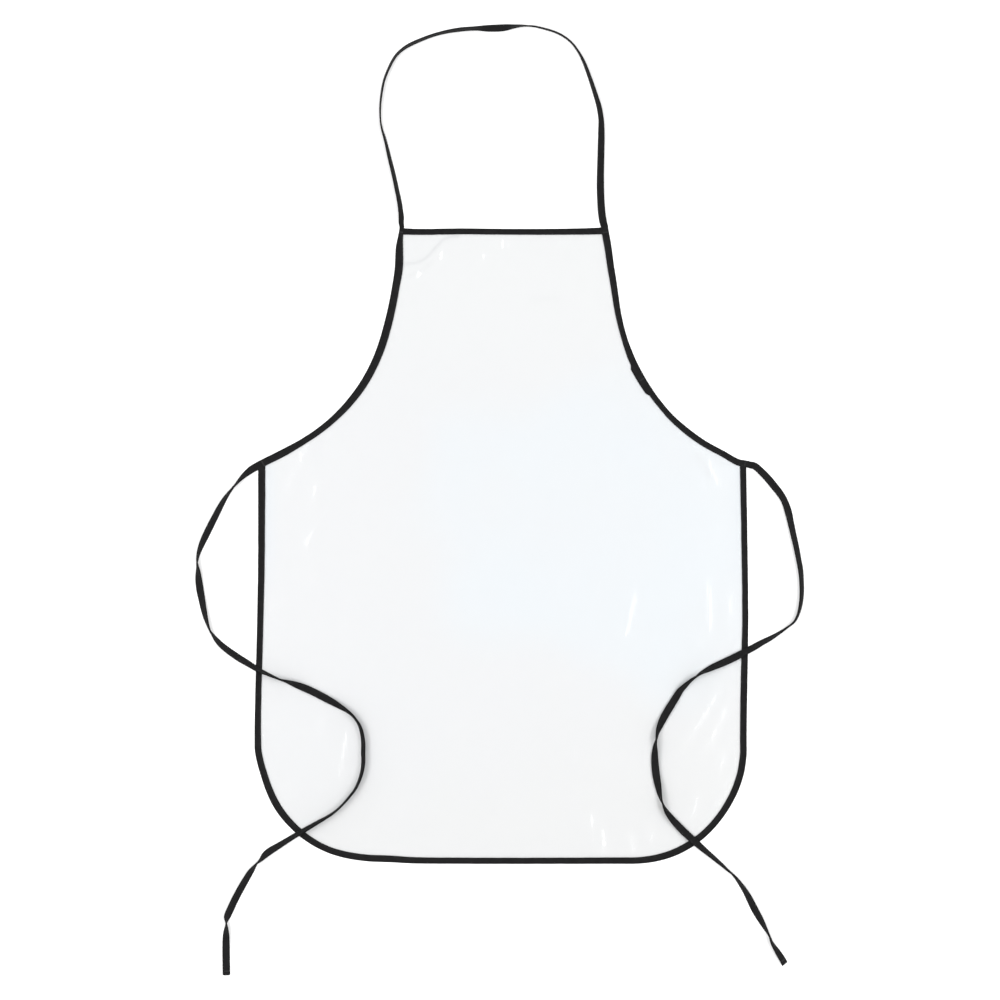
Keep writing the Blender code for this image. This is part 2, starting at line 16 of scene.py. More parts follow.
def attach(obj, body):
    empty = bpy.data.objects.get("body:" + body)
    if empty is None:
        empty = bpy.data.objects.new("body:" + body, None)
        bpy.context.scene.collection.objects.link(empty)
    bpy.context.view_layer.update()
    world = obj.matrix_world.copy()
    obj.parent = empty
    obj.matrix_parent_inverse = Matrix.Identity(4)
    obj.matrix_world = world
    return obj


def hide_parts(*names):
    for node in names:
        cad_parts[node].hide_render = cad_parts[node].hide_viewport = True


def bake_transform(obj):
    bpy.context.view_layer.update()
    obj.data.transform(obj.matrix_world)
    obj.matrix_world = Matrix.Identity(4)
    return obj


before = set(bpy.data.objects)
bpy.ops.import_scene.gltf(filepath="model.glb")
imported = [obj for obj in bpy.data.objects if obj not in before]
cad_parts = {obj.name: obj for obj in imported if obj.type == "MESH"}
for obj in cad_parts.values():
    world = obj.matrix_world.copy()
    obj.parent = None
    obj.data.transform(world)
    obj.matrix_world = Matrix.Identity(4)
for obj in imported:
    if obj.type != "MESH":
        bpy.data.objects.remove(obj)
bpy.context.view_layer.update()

MM = 0.001

# ---- Finished edge of the sheet, as in the CAD (right half; the left half mirrors it) ----
HALF_HEIGHT = 0.3733
BIB_HALF_WIDTH = 0.1218
WAIST_HALF_WIDTH = 0.2875
WAIST_HEIGHT = 0.098
SKIRT_HALF_WIDTH = 0.2895
SIDE_FOOT_HEIGHT = -0.235
HEM_HALF_LENGTH = 0.148
ARMHOLE_BIB_HANDLE = Vector((0.143, 0.239))
ARMHOLE_WAIST_HANDLE = Vector((0.1425, 0.1675))
CORNER_SIDE_HANDLE = Vector((SKIRT_HALF_WIDTH, -0.280))
CORNER_HEM_HANDLE = Vector((0.249, -HALF_HEIGHT))
LEFT_SIDE_TOP = 0.0055        # the side's tape stops this far inside the armhole's edge
RIGHT_SIDE_TOP = 0.0046
LEFT_ARMHOLE_TAPE = 0.0090

# ---- Tape, film and thread ----
TAPE = 0.00035
FILM = 0.00025
BINDING_THICKNESS = 0.00115
FILM_MIDDLE = BINDING_THICKNESS / 2
FILM_TUCK = 0.0022            # the film's edge lies this far inside a binding's fold
STRAP_THICKNESS = 0.0013
STRAP_LAYER = 0.00039
STITCH_INSET = 0.0015
STITCH_PITCH = 0.0032
STITCH_LENGTH = 0.0025
THREAD_RADIUS = 0.00021
STITCH_TO_TACK = 0.0016
FIRST_STITCH = 0.0055         # from a free tape's sewn end to its first stitch
TACK_TO_SEAM = 0.0040
TACK_LENGTH = 0.0060
TACK_WIDTH = 0.0019
TACK_THREADS = 15
TACK_LEAN = 0.00012
TACK_MARGIN = 0.0016          # a corner's tack is this much shorter than the tape is wide
TIE_TACK_TO_END = 0.0050

# ---- The join in the right armhole's tape ----
SPLICE_HEIGHT = 0.195
SPLICE_GAP = 0.0003
BUTT_GAP = 0.00005            # between the bib's tape and the armhole tapes it butts against
LAP_LOW = 0.1805
LAP_HIGH = 0.2155
LAP_INSET = 0.0001
LAP_OVERHANG = 0.0002
LAP_EXTRA = 0.0021
LAP_EASE = 0.0045
LAP_LIFT = 0.0001
LAP_TACK_MIDDLE = 0.00395

# ---- Small irregularities of hand work: their size and their wavelength along the tape ----
EDGE_STRAY = (0.00012, 0.011)
BINDING_WIDTH_STRAY = (0.00010, 0.014)
BINDING_LIFT_STRAY = (0.00008, 0.03)
PUFF_STRAY = (0.8, 0.009)     # size as a share of the puff
STRAP_WIDTH_STRAY = (0.00012, 0.02)
STRAP_BOW_STRAY = (0.0004, 0.045)
STITCH_STRAY = (0.00008, 1 / 0.7)    # wavelength in stitches
SEED_STEP = 7.31              # how far apart in the noise two seeds lie
NOISE_PLANE = 0.37

# ---- Camera ----
LENS = 100.0
SENSOR = 36.0
VIEW_WIDTH = 1.175            # width of floor in the picture
VIEW_MIDDLE = (-0.0041, 0.0543)
VIEW_DISTANCE = VIEW_WIDTH * LENS / SENSOR
FAR_CLIP = 50.0

# ---- Routes of the free tape, as in the CAD: x, y and height of what it lies on, in millimetres,
# and roll about its own line in degrees (0 flat, 90 on edge, 180 the other way up) ----
NECK_STRAP_ROUTE = [
    (-118.6, 373.7, 0, 0), (-118.6, 376.2, 0, 0), (-119.4, 382, 0, 28), (-120.6, 391, 0, 51),
    (-122.4, 403, 0, 57), (-127.6, 429.5, 0, 62), (-134.3, 457, 0, 66), (-139, 477.5, 0, 75),
    (-143.6, 495, 0, 86), (-145, 511, 0, 92), (-143.9, 527, 0, 97), (-140.4, 546, 0, 99),
    (-134.2, 562, 0, 102), (-125.5, 577, 0, 105), (-112.2, 588.1, 0, 109), (-93, 596.6, 0, 109),
    (-72.2, 603.2, 0, 109), (-52, 606.9, 0, 115), (-32, 608.3, 0, 120), (-15.6, 608.6, 0, 148),
    (-1.5, 609.3, 0, 150), (12.6, 610.8, 0, 113), (26.8, 611.6, 0, 91), (41, 610.1, 0, 84),
    (60, 604.4, 0, 82), (78.5, 593, 0, 81), (88.2, 581, 0, 78), (94.9, 568.5, 0, 70),
    (102.4, 549, 0, 63), (109.2, 528.3, 0, 57), (113, 515.1, 0, 51), (115.1, 501, 0, 47),
    (115.3, 485, 0, 33), (114.8, 464, 0, 27), (114, 436, 0, 20), (114.1, 415, 0, 15),
    (115.2, 396, 0, 14), (117, 383, 0, 8), (118.2, 376.2, 0, 0), (118.2, 373.7, 0, 0),
]
LEFT_TIE_ROUTE = [
    (-285.9, 93.8, 0, 0), (-288.6, 92.5, 0, 0), (-297.7, 88.4, 0, 28), (-308.5, 79.6, 0, 64),
    (-316, 70.3, 0, 90), (-326.5, 57.2, 0, 119), (-338, 36.5, 0, 142), (-350.5, 11.5, 0, 146),
    (-357.4, -6.1, 0, 120), (-359.4, -20.1, 0, 90), (-358.5, -34.7, 0, 44), (-356.6, -48.8, 0, 22),
    (-351.4, -77.5, 0, 50), (-345, -98, 0, 90), (-333.4, -113.9, 0, 132), (-312, -130.5, 0.4, 147),
    (-298, -139.4, 1.9, 136), (-287, -145.6, 2, 121), (-261.5, -156.6, 2, 90), (-245.1, -162.1, 2, 46),
    (-229, -168.4, 2, 12), (-212, -176.6, 2, 8), (-194.2, -186.6, 2, 46), (-176.5, -200.5, 2, 80),
    (-168, -217, 2, 69), (-164.6, -247, 2, 62), (-174.5, -285.5, 2, 80), (-193.5, -307.8, 2, 86),
    (-219.7, -325, 2, 66), (-244, -340, 2, 52), (-263, -351, 0.8, 40), (-279.9, -362.1, 0, 38),
    (-288.5, -372.5, 0, 90), (-298, -384.1, 0, 136), (-315, -413.5, 0, 153), (-324, -434.5, 0, 145),
    (-325.5, -444, 0, 88), (-325.7, -460, 0, 30), (-325.6, -486, 0, 6), (-325.5, -504.2, 0, 0),
]
RIGHT_TIE_ROUTE = [
    (286.6, 95.3, 0, 0), (289.3, 94.1, 0, 0), (296.6, 92.6, 0, 24), (305.9, 84.9, 0, 26),
    (315.3, 74.4, 0, 22), (327.6, 57.8, 0, 29), (335.4, 37, 0, 35), (341.5, 9.9, 0, 45),
    (347.3, -17.7, 0, 52), (350.4, -42, 0, 59), (349.2, -68, 0, 68), (343.1, -86.4, 0, 86),
    (332.7, -96, 0, 96), (320.9, -103.8, 0, 112), (308.5, -110.6, 0.5, 128), (296.6, -117.2, 1.9, 142),
    (284.8, -123.2, 2, 149), (271, -130.5, 2, 168), (258.3, -136.5, 2, 160), (243, -143.5, 2, 137),
    (226.4, -154.1, 2, 90), (210.2, -166.6, 2, 45), (201.7, -178.3, 2, 6), (188.6, -200.5, 2, 8),
    (179.8, -226.2, 2, 90), (177.3, -244.6, 2, 150), (178.2, -265, 2, 172), (182.6, -287, 2, 132),
    (187.8, -302.7, 2, 90), (192.8, -313.8, 2, 51), (206.5, -330, 2, 10), (224.4, -346.6, 2, 30),
    (239.5, -359.6, 1, 52), (254.5, -372.3, 0, 68), (265.1, -381.5, 0, 88), (283.1, -403.6, 0, 128),
    (297.5, -430.5, 0, 152), (313.5, -459.3, 0, 90), (323.2, -478.5, 0, 45), (331.4, -490.4, 0, 28),
]

# ---- How each hand-sewn binding strays from the drawn edge: share of its length, how far its
# outer edge lies inside the drawn one, and its width, both in millimetres ----
SIDE_AND_HEM_FEED = [
    (0, -0.8, 8.5), (0.08, -0.2, 7.8), (0.13, -0.9, 7.4), (0.2, -2.7, 7.2),
    (0.235, -3, 7.8), (0.26, -1.4, 8), (0.29, -2.8, 8.4), (0.32, -1.2, 7.9),
    (0.345, 0.4, 7.6), (0.375, 2.5, 7.9), (0.4, 2.1, 8), (0.425, 0.5, 7.5),
    (0.5, 0, 7.3), (0.61, 0, 7.7), (0.648, -0.6, 8.3), (0.69, 0.2, 7.8),
    (0.735, 1.4, 8), (0.765, 3.7, 7.8), (0.82, 2.3, 7.9), (0.87, 1, 7.1),
    (0.93, 1.3, 7.1), (1, 2.3, 7.4),
]
RIGHT_ARMHOLE_FEED = [
    (0, -2.3, 8), (0.015, -0.9, 7.9), (0.033, 0.9, 7.7), (0.06, 0.9, 7.4),
    (0.089, 0.6, 7.3), (0.169, 1.5, 7.4), (0.245, 1.2, 7.5), (0.312, 0.8, 7),
    (0.376, -0.4, 6.9), (0.459, -1, 7.4), (0.55, -0.6, 8), (0.606, 0, 6.9),
    (0.667, 0.2, 6.8), (0.73, -0.4, 7.3), (0.795, -1.4, 7.7), (0.866, -1.4, 8),
    (0.94, -1.8, 8.4), (1, -1.3, 8.5),
]
LEFT_ARMHOLE_FEED = [
    (0, -0.4, 5.4), (0.02, -0.5, 5.6), (0.065, -1.3, 8.5), (0.135, 1, 9.6),
    (0.205, 1.4, 8.9), (0.333, 0.7, 9.3), (0.45, 0.3, 9.2), (0.6, -0.2, 8.8),
    (0.69, 0.1, 7.9), (0.755, 0.2, 7.4), (0.83, -0.4, 7.5), (0.91, -1.6, 8.7),
    (0.96, -2, 8.8), (1, -2.1, 8.8),
]
BIB_TOP_FEED = [
    (0, -1.5, 8.3), (0.1, -0.4, 7.6), (0.3, 0.4, 7), (0.5, 0.4, 6.9),
    (0.7, -0.2, 7.1), (0.9, 0.5, 7.1), (1, -0.5, 7.7),
]

# ---- The same for the free tape: distance along it, its middle's shift and its width, in mm ----
NECK_STRAP_FEED = [
    (0, 1.4, 5.8), (6, 1.2, 6.2), (14, 0.2, 8), (24, -0.2, 8.9), (34, -0.4, 9),
    (48, -0.1, 9), (95, -0.3, 9), (124, 0.2, 9), (144, -0.2, 9), (190, -0.05, 9),
    (214, -0.1, 8.9), (234, -0.5, 10), (256, -0.2, 8.8), (285, -0.3, 9.6), (316, -0.05, 8.9),
    (350, -0.4, 9.4), (364, -0.2, 10.6), (376, -0.15, 9), (394, -0.5, 9), (414, 0.3, 8.8),
    (430, -0.1, 8.5), (506, -0.35, 8.7), (570, 0, 8.6), (622, 0, 8.8), (646, -0.2, 8.7),
    (654, 0.2, 8.6),
]
LEFT_TIE_FEED = [
    (0, -1.9, 9.2), (8, -1.2, 9.2), (16, -0.5, 9), (44, -0.6, 9.2), (58, -0.1, 9.2),
    (98, 0.3, 9.1), (124, -0.2, 9.1), (136, -0.75, 9.3), (150, -0.2, 9.2), (174, -0.4, 9.1),
    (186, -0.2, 8.8), (206, -0.6, 9.2), (234, -0.25, 9), (262, -0.15, 9), (280, 0.25, 9),
    (300, -0.5, 9.3), (330, -0.55, 9.2), (360, -0.3, 8.7), (394, -0.7, 8.7), (424, 0.1, 8.6),
    (438, 0.5, 9), (452, -0.1, 9.1), (464, -1, 9.1), (474, 0, 9), (486, 0.7, 8.8),
    (506, 0, 8.8), (518, -0.9, 8.6), (534, -0.2, 9), (550, 0.2, 9), (566, -0.1, 9),
    (582, -0.6, 9), (600, -0.8, 8.5), (616, -0.15, 8.7), (634, 0, 9.5), (646, 0, 9),
    (656, -1.1, 9.2), (666, 0, 9.1), (714, 0.4, 9.2), (724, -0.1, 9.4), (754, -0.4, 8.9),
    (796, -0.1, 8.8),
]
RIGHT_TIE_FEED = [
    (0, -2.2, 8.4), (4, -2.1, 8.5), (9, -1, 8.8), (15, -0.2, 9), (22, 0, 9.2),
    (50, 0, 9.1), (64, -0.5, 8.8), (76, -0.4, 9.8), (88, 0, 9.1), (114, -0.4, 9.1),
    (134, -0.25, 9.1), (144, -0.5, 9.5), (156, -0.2, 9.1), (174, -0.45, 9.3), (204, -0.5, 9.1),
    (218, -0.1, 9.1), (244, -0.35, 9.5), (254, 0.1, 9), (268, -0.25, 8.9), (316, -0.15, 8.8),
    (326, 0.1, 8.9), (336, 0.7, 9.1), (346, 0.2, 9), (356, -0.7, 8.8), (366, -0.5, 8.4),
    (394, -0.5, 9), (414, 0.25, 8.6), (428, -0.15, 8.9), (446, -0.3, 8.3), (464, -0.7, 9),
    (484, -0.3, 9), (504, 0.6, 9.1), (514, -0.3, 8.9), (526, -0.2, 8.3), (556, 0, 9),
    (576, 0, 9.2), (606, -0.35, 9), (616, 0.25, 9), (628, -0.75, 9), (644, -0.05, 8.8),
    (662, 0.4, 9), (690, 0.1, 8.8), (704, -0.05, 8.9), (716, 0.8, 9), (726, -0.1, 9),
    (736, -0.3, 8.9), (746, 0.8, 8.6),
]


# ---- Shared geometry ----

UP = Vector((0.0, 0.0, 1.0))
ROUND_ANGLE = 60.0            # edges sharper than this are shaded sharp
CREASED_ANGLE = 40.0          # the same on tape


def cubic(start, start_handle, end_handle, end, t):
    """A point on a cubic curve between two ends, with a handle for each."""
    s = 1 - t
    return (s ** 3 * start + 3 * s * s * t * start_handle
            + 3 * s * t * t * end_handle + t ** 3 * end)


class SmoothRows:
    """A smooth curve through rows of values, by a cubic between each two rows."""

    def __init__(self, knots, rows):
        self.knots = knots
        self.rows = np.array(rows, float)
        last = len(knots) - 1
        spans = [(max(i - 1, 0), min(i + 1, last)) for i in range(len(knots))]
        self.slopes = [(self.rows[b] - self.rows[a]) / (knots[b] - knots[a]) for a, b in spans]

    def at(self, distance):
        i = min(max(bisect.bisect_left(self.knots, distance) - 1, 0), len(self.knots) - 2)
        span = self.knots[i + 1] - self.knots[i]
        t = min(max((distance - self.knots[i]) / span, 0.0), 1.0)
        start_handle = self.rows[i] + self.slopes[i] * span / 3
        end_handle = self.rows[i + 1] - self.slopes[i + 1] * span / 3
        return cubic(self.rows[i], start_handle, end_handle, self.rows[i + 1], t).tolist()


def running_lengths(points):
    """Distance along a row of points to each of them, seen in their first two values."""
    marks = [0.0]
    for a, b in zip(points, points[1:]):
        marks.append(marks[-1] + math.hypot(b[0] - a[0], b[1] - a[1]))
    return marks


def spaced(start, end, step):
    """Distances from start to end, about a step apart."""
    count = max(2, round((end - start) / step))
    return [start + (end - start) * i / count for i in range(count + 1)]


def left_of(direction):
    return Vector((-direction.y, direction.x))


def stray(distance, kind, seed):
    """Smooth noise along a length, of one kind's size and wavelength."""
    size, wavelength = kind
    return size * noise.noise(Vector((distance / wavelength, seed * SEED_STEP, NOISE_PLANE)))


def smooth_step(value, low, high):
    t = np.clip((np.asarray(value, float) - low) / (high - low), 0.0, 1.0)
    return t * t * (3 - 2 * t)


def mesh_object(name, points, faces, material, attributes, smooth_angle=ROUND_ANGLE):
    """A closed, smooth-shaded mesh object with its point attributes."""
    mesh = bpy.data.meshes.new(name)
    mesh.from_pydata([tuple(point) for point in points], [], faces)
    shape = bmesh.new()
    shape.from_mesh(mesh)
    bmesh.ops.recalc_face_normals(shape, faces=shape.faces)
    shape.to_mesh(mesh)
    shape.free()
    for key, values in attributes.items():
        values = np.asarray(values, np.float32)
        kind = "FLOAT" if values.ndim == 1 else "FLOAT_VECTOR"
        attribute = mesh.attributes.new(key, kind, "POINT")
        attribute.data.foreach_set("value" if kind == "FLOAT" else "vector", values.ravel())
    mesh.shade_smooth()
    mesh.set_sharp_from_angle(angle=math.radians(smooth_angle))
    mesh.materials.append(material)
    piece = bpy.data.objects.new(name, mesh)
    bpy.context.collection.objects.link(piece)
    return piece


def tube_faces(first, rings, count):
    """Faces over a row of rings of points, numbered from the first point on, with end caps."""
    faces = []
    for base in range(first, first + (rings - 1) * count, count):
        for j in range(count):
            k = (j + 1) % count
            faces.append((base + j, base + k, base + count + k, base + count + j))
    faces.append(tuple(range(first, first + count)))
    faces.append(tuple(range(first + (rings - 1) * count, first + rings * count)))
    return faces


def skin(name, sections, material):
    """Skin a row of sections: each has a ring of points and their places in the weave."""
    points = [point for ring, _ in sections for point in ring]
    flat = [place for _, places in sections for place in places]
    faces = tube_faces(0, len(sections), len(sections[0][0]))
    return mesh_object(name, points, faces, material, {"tape_place": flat}, CREASED_ANGLE)


# ---- Threads ----

THREAD_RINGS = ((0.0, 0.35), (0.14, 0.85), (0.5, 1.0), (0.86, 0.85), (1.0, 0.35))
THREAD_SIDES = 6
THREAD_ARCH = 0.00006
THREAD_FLATNESS = 0.75
PLY_STEP = 0.0001             # how far around the thread one side counts as, for its plies


def thread_object(name, threads, material):
    """Short plump threads, each with its start, its end and the direction out of the tape."""
    points = []
    faces = []
    places = []
    for start, end, up in threads:
        along = end - start
        side = along.cross(up).normalized()
        faces += tube_faces(len(points), len(THREAD_RINGS), THREAD_SIDES)
        for share, size in THREAD_RINGS:
            arch = THREAD_ARCH * (0.5 - (2 * share - 1) ** 2)
            middle = start + share * along + arch * up
            radius = THREAD_RADIUS * size
            for k in range(THREAD_SIDES):
                angle = 2 * math.pi * k / THREAD_SIDES
                points.append(middle + radius * math.cos(angle) * side
                              + radius * THREAD_FLATNESS * math.sin(angle) * up)
                places.append((share * along.length, k * PLY_STEP, 0.0))
    return mesh_object(name, points, faces, material, {"tape_place": places})


class SewnTape:
    """What a binding and a free tape share: rows of stitching and bar tacks."""

    def stitches(self, name, start, end, material):
        """Both faces of the row of stitching along the tape's open edge."""
        threads = []
        for i in range(int((end - start) / STITCH_PITCH)):
            near = start + i * STITCH_PITCH
            sway = stray(i, STITCH_STRAY, self.stitch_seed)
            threads += [self.stitch(near, face, sway) for face in (1, -1)]
        return thread_object(name, threads, material)

    def tack(self, name, length, material, *place):
        """A bar tack across the tape: a dense row of threads that lean to and fro."""
        threads = []
        for i in range(TACK_THREADS):
            offset = length * (i / (TACK_THREADS - 1) - 0.5)
            lean = TACK_LEAN if i % 2 else -TACK_LEAN
            threads.append(self.tack_thread(offset + lean, offset - lean, *place))
        return thread_object(name, threads, material)


# ---- Folded tape ----

RUN_SHARES = (0.0, 0.08, 0.22, 0.40, 0.58, 0.76, 0.90, 1.0)
FOLD_STEPS = 6
FOLD_REACH = 0.75             # the fold's depth, as a share of the tape's thickness
INNER_FOLD_REACH = 0.8        # depth of its inside, as a share of the room there
EDGE_SHADE_WIDTH = 0.0008
SEAM_DIP = 0.00009
SEAM_DIP_WIDTH = 0.0009
PUFF = 0.00012
STRAP_PUFF = PUFF * 0.6


def edge_shade(across, width):
    """Painted shade: 1 on both edges of the tape, fading out towards its middle."""
    return math.exp(-max(min(across, width - across), 0.0) / EDGE_SHADE_WIDTH)


def fold_section(width, thickness, layer, puff):
    """Closed section of a tape folded in two: (across, height, painted edge shade) points.

    Across runs from the fold, at 0, to the two open edges, at width. Height starts at 0.
    """
    radius = thickness * FOLD_REACH
    seam = width - STITCH_INSET
    run = [radius + share * (width - radius) for share in RUN_SHARES]

    def top(across):
        dome = math.sin(math.pi * min(max(across / width, 0.0), 1.0)) * puff
        return thickness + dome - SEAM_DIP * math.exp(-((across - seam) / SEAM_DIP_WIDTH) ** 2)

    outer = [(across, 0.0) for across in reversed(run)]
    for step in range(1, FOLD_STEPS):
        angle = math.pi * step / FOLD_STEPS
        outer.append((radius * (1 - math.sin(angle)), thickness / 2 * (1 - math.cos(angle))))
    outer += [(across, top(across)) for across in run]
    inner = [(across, top(across) - layer, 1.0) for across in reversed(run)]
    inner.append((radius - (radius - layer) * INNER_FOLD_REACH, thickness / 2, 1.0))
    inner += [(across, layer, 1.0) for across in run]
    return [(across, height, edge_shade(across, width)) for across, height in outer] + inner


def weave_places(section, distance):
    """Each point's distance along the tape and around its section, and its painted edge shade."""
    around = running_lengths(section)
    return [(distance, turn, point[2]) for point, turn in zip(section, around)]


# ---- Bindings ----

EDGE_STATION = 0.003
FINE_STEPS = 160
TRAVEL_STEP = 0.004           # how far ahead and behind a line's direction is taken
FRAME_STEP = 0.003            # the same for its outer edge
TOP_STITCH_HEIGHT = BINDING_THICKNESS + 0.00006
UNDER_STITCH_HEIGHT = 0.00009
CORNER_TACK_HEIGHT = BINDING_THICKNESS + 0.00021
LAP_TACK_HEIGHT = BINDING_THICKNESS + PUFF + LAP_LIFT + TAPE + 0.00004


def bezier(start, start_handle, end_handle, end):
    shares = [i / FINE_STEPS for i in range(FINE_STEPS + 1)]
    return [cubic(start, start_handle, end_handle, end, t) for t in shares]


def mirrored(line):
    return [Vector((-point.x, point.y)) for point in reversed(line)]


class EdgeLine(SewnTape):
    """A binding's line on the sheet: where its outer edge runs and how wide it is."""

    def __init__(self, line, feed, seed):
        self.line = line
        self.seed = seed
        self.stitch_seed = seed
        self.marks = running_lengths(line)
        self.length = self.marks[-1]
        rows = [(inset * MM, width * MM) for _, inset, width in feed]
        self.feed = SmoothRows([share for share, _, _ in feed], rows)

    def raw_at(self, distance):
        distance = min(max(distance, 0.0), self.length)
        i = min(max(bisect.bisect_right(self.marks, distance) - 1, 0), len(self.line) - 2)
        span = self.marks[i + 1] - self.marks[i]
        return self.line[i].lerp(self.line[i + 1], (distance - self.marks[i]) / span)

    def width_at(self, distance):
        return self.feed.at(distance / self.length)[1]

    def edge_at(self, distance):
        """The outer edge's place at a distance along the drawn line."""
        travel = self.raw_at(distance + TRAVEL_STEP) - self.raw_at(distance - TRAVEL_STEP)
        inset = self.feed.at(distance / self.length)[0] + stray(distance, EDGE_STRAY, self.seed)
        return self.raw_at(distance) + inset * left_of(travel.normalized())

    def frame_at(self, distance):
        """The outer edge's place, the direction of travel and the direction inward."""
        travel = (self.edge_at(min(distance + FRAME_STEP, self.length))
                  - self.edge_at(max(distance - FRAME_STEP, 0.0))).normalized()
        return self.edge_at(distance), travel, left_of(travel)

    def inner_x_at(self, distance):
        """X of the inner edge."""
        place, _, inward = self.frame_at(distance)
        return place.x + self.width_at(distance) * inward.x

    def distance_to_height(self, height):
        """Distance along a rising line to the point that has this height."""
        for i, (a, b) in enumerate(zip(self.line, self.line[1:])):
            if b.y >= height:
                return self.marks[i] + (height - a.y) / (b.y - a.y) * (b - a).length
        return self.length

    def stitch(self, near, face, sway):
        """One stitch near the inner edge, on the front face (1) or the back one (-1)."""
        height = TOP_STITCH_HEIGHT if face == 1 else UNDER_STITCH_HEIGHT
        ends = []
        for distance in (near, near + STITCH_LENGTH):
            place, _, inward = self.frame_at(distance)
            depth = self.width_at(distance) - STITCH_INSET + sway
            ends.append(Vector((*(place + depth * inward), height)))
        return ends[0], ends[1], face * UP

    def tack_thread(self, first, second, distance, middle, height):
        """One thread, with its ends this far inward from the tack's middle."""
        place, travel, inward = self.frame_at(distance)
        half = TACK_WIDTH / 2 * travel
        start = place + (middle + first) * inward - half
        end = place + (middle + second) * inward + half
        return Vector((*start, height)), Vector((*end, height)), UP


def side_x(height):
    drop = (WAIST_HEIGHT - height) / (WAIST_HEIGHT - SIDE_FOOT_HEIGHT)
    return WAIST_HALF_WIDTH + drop * (SKIRT_HALF_WIDTH - WAIST_HALF_WIDTH)


BIB_CORNER = Vector((BIB_HALF_WIDTH, HALF_HEIGHT))
WAIST_CORNER = Vector((WAIST_HALF_WIDTH, WAIST_HEIGHT))
WAIST_OUTWARD = (WAIST_CORNER - ARMHOLE_WAIST_HANDLE).normalized()
WAIST_SLOPE = -WAIST_OUTWARD.y / WAIST_OUTWARD.x
BIB_UPWARD = (BIB_CORNER - ARMHOLE_BIB_HANDLE).normalized()
BIB_SLOPE = -BIB_UPWARD.x / BIB_UPWARD.y


def side_and_hem_line():
    """From the left waist down, round both lower corners and up to the right waist."""
    foot = Vector((SKIRT_HALF_WIDTH, SIDE_FOOT_HEIGHT))
    hem_end = Vector((HEM_HALF_LENGTH, -HALF_HEIGHT))
    corner = bezier(hem_end, CORNER_HEM_HANDLE, CORNER_SIDE_HANDLE, foot)
    left_top = WAIST_HEIGHT - LEFT_SIDE_TOP / WAIST_OUTWARD.x
    right_top = WAIST_HEIGHT - RIGHT_SIDE_TOP / WAIST_OUTWARD.x
    start = [Vector((-side_x(left_top), left_top))]
    end = [Vector((side_x(right_top), right_top))]
    return start + mirrored(corner) + corner + end


def edge_lines():
    """The lines of the side and hem, the left armhole, the right one and the bib's top."""
    armhole = bezier(WAIST_CORNER, ARMHOLE_WAIST_HANDLE, ARMHOLE_BIB_HANDLE, BIB_CORNER)
    top = [BIB_CORNER, Vector((-BIB_HALF_WIDTH, HALF_HEIGHT))]
    side = EdgeLine(side_and_hem_line(), SIDE_AND_HEM_FEED, 1)
    right = EdgeLine(armhole, RIGHT_ARMHOLE_FEED, 2)
    left = EdgeLine(mirrored(armhole), LEFT_ARMHOLE_FEED, 3)
    bib = EdgeLine(top, BIB_TOP_FEED, 4)
    return side, left, right, bib


def binding_section(edge, distance, slope=0.0):
    """The folded tape's section over an edge; a slope slants it where the tape ends."""
    place, travel, inward = edge.frame_at(distance)
    width = edge.width_at(distance) + stray(distance, BINDING_WIDTH_STRAY, edge.seed + 20)
    puff = PUFF * (1 + stray(distance, PUFF_STRAY, edge.seed + 40))
    lift = BINDING_LIFT_STRAY[0] + stray(distance, BINDING_LIFT_STRAY, edge.seed + 60)
    section = fold_section(width, BINDING_THICKNESS, TAPE, puff)
    ring = []
    for depth, height, _ in section:
        at = place + depth * inward + depth * slope * travel
        ring.append(Vector((*at, height + lift * min(depth / width, 1.0))))
    return ring, weave_places(section, distance)


def binding(name, edge, start, end, start_slope, end_slope, material):
    """Folded tape sewn over an edge of the sheet."""
    stations = spaced(start, end, EDGE_STATION)
    slopes = [start_slope] + [0.0] * (len(stations) - 2) + [end_slope]
    sections = [binding_section(edge, *station) for station in zip(stations, slopes)]
    return skin(name, sections, material)


LAP_STATION = 0.002
LAP_SHARES = (0.0, 0.03, 0.15, 0.35, 0.6, 0.85, 0.97, 1.0)
LAP_TOP_ROUNDING = 0.00012
LAP_FOOT_ROUNDING = 0.00008
LAP_CUT_DROOP = 0.00035
LAP_FOLD_DROOP = 0.0002


def splice_lap(name, edge, material):
    """The tape's cut end, one layer thick, lapped over the join."""
    start = edge.distance_to_height(LAP_LOW)
    end = edge.distance_to_height(LAP_HIGH)
    bottom = BINDING_THICKNESS + PUFF + LAP_LIFT
    rounded = np.isin(LAP_SHARES, (0.0, 1.0))
    outline = [*zip(LAP_SHARES, TAPE - LAP_TOP_ROUNDING * rounded),
               *zip(LAP_SHARES[::-1], LAP_FOOT_ROUNDING * rounded)]
    sections = []
    for distance in spaced(start, end, LAP_STATION):
        place, _, inward = edge.frame_at(distance)
        ease = smooth_step(min(distance - start, end - distance), 0.0, LAP_EASE)
        width = edge.width_at(distance) + LAP_OVERHANG + LAP_EXTRA * float(ease)
        ring = []
        places = []
        for share, height in outline:
            depth = share * width
            droop = LAP_CUT_DROOP * share ** 4 + LAP_FOLD_DROOP * (1 - share) ** 4
            at = place + (depth + LAP_INSET) * inward
            ring.append((*at, bottom + height - droop))
            places.append((distance, depth, edge_shade(depth, width)))
        sections.append((ring, places))
    return skin(name, sections, material)


# ---- Free tape ----

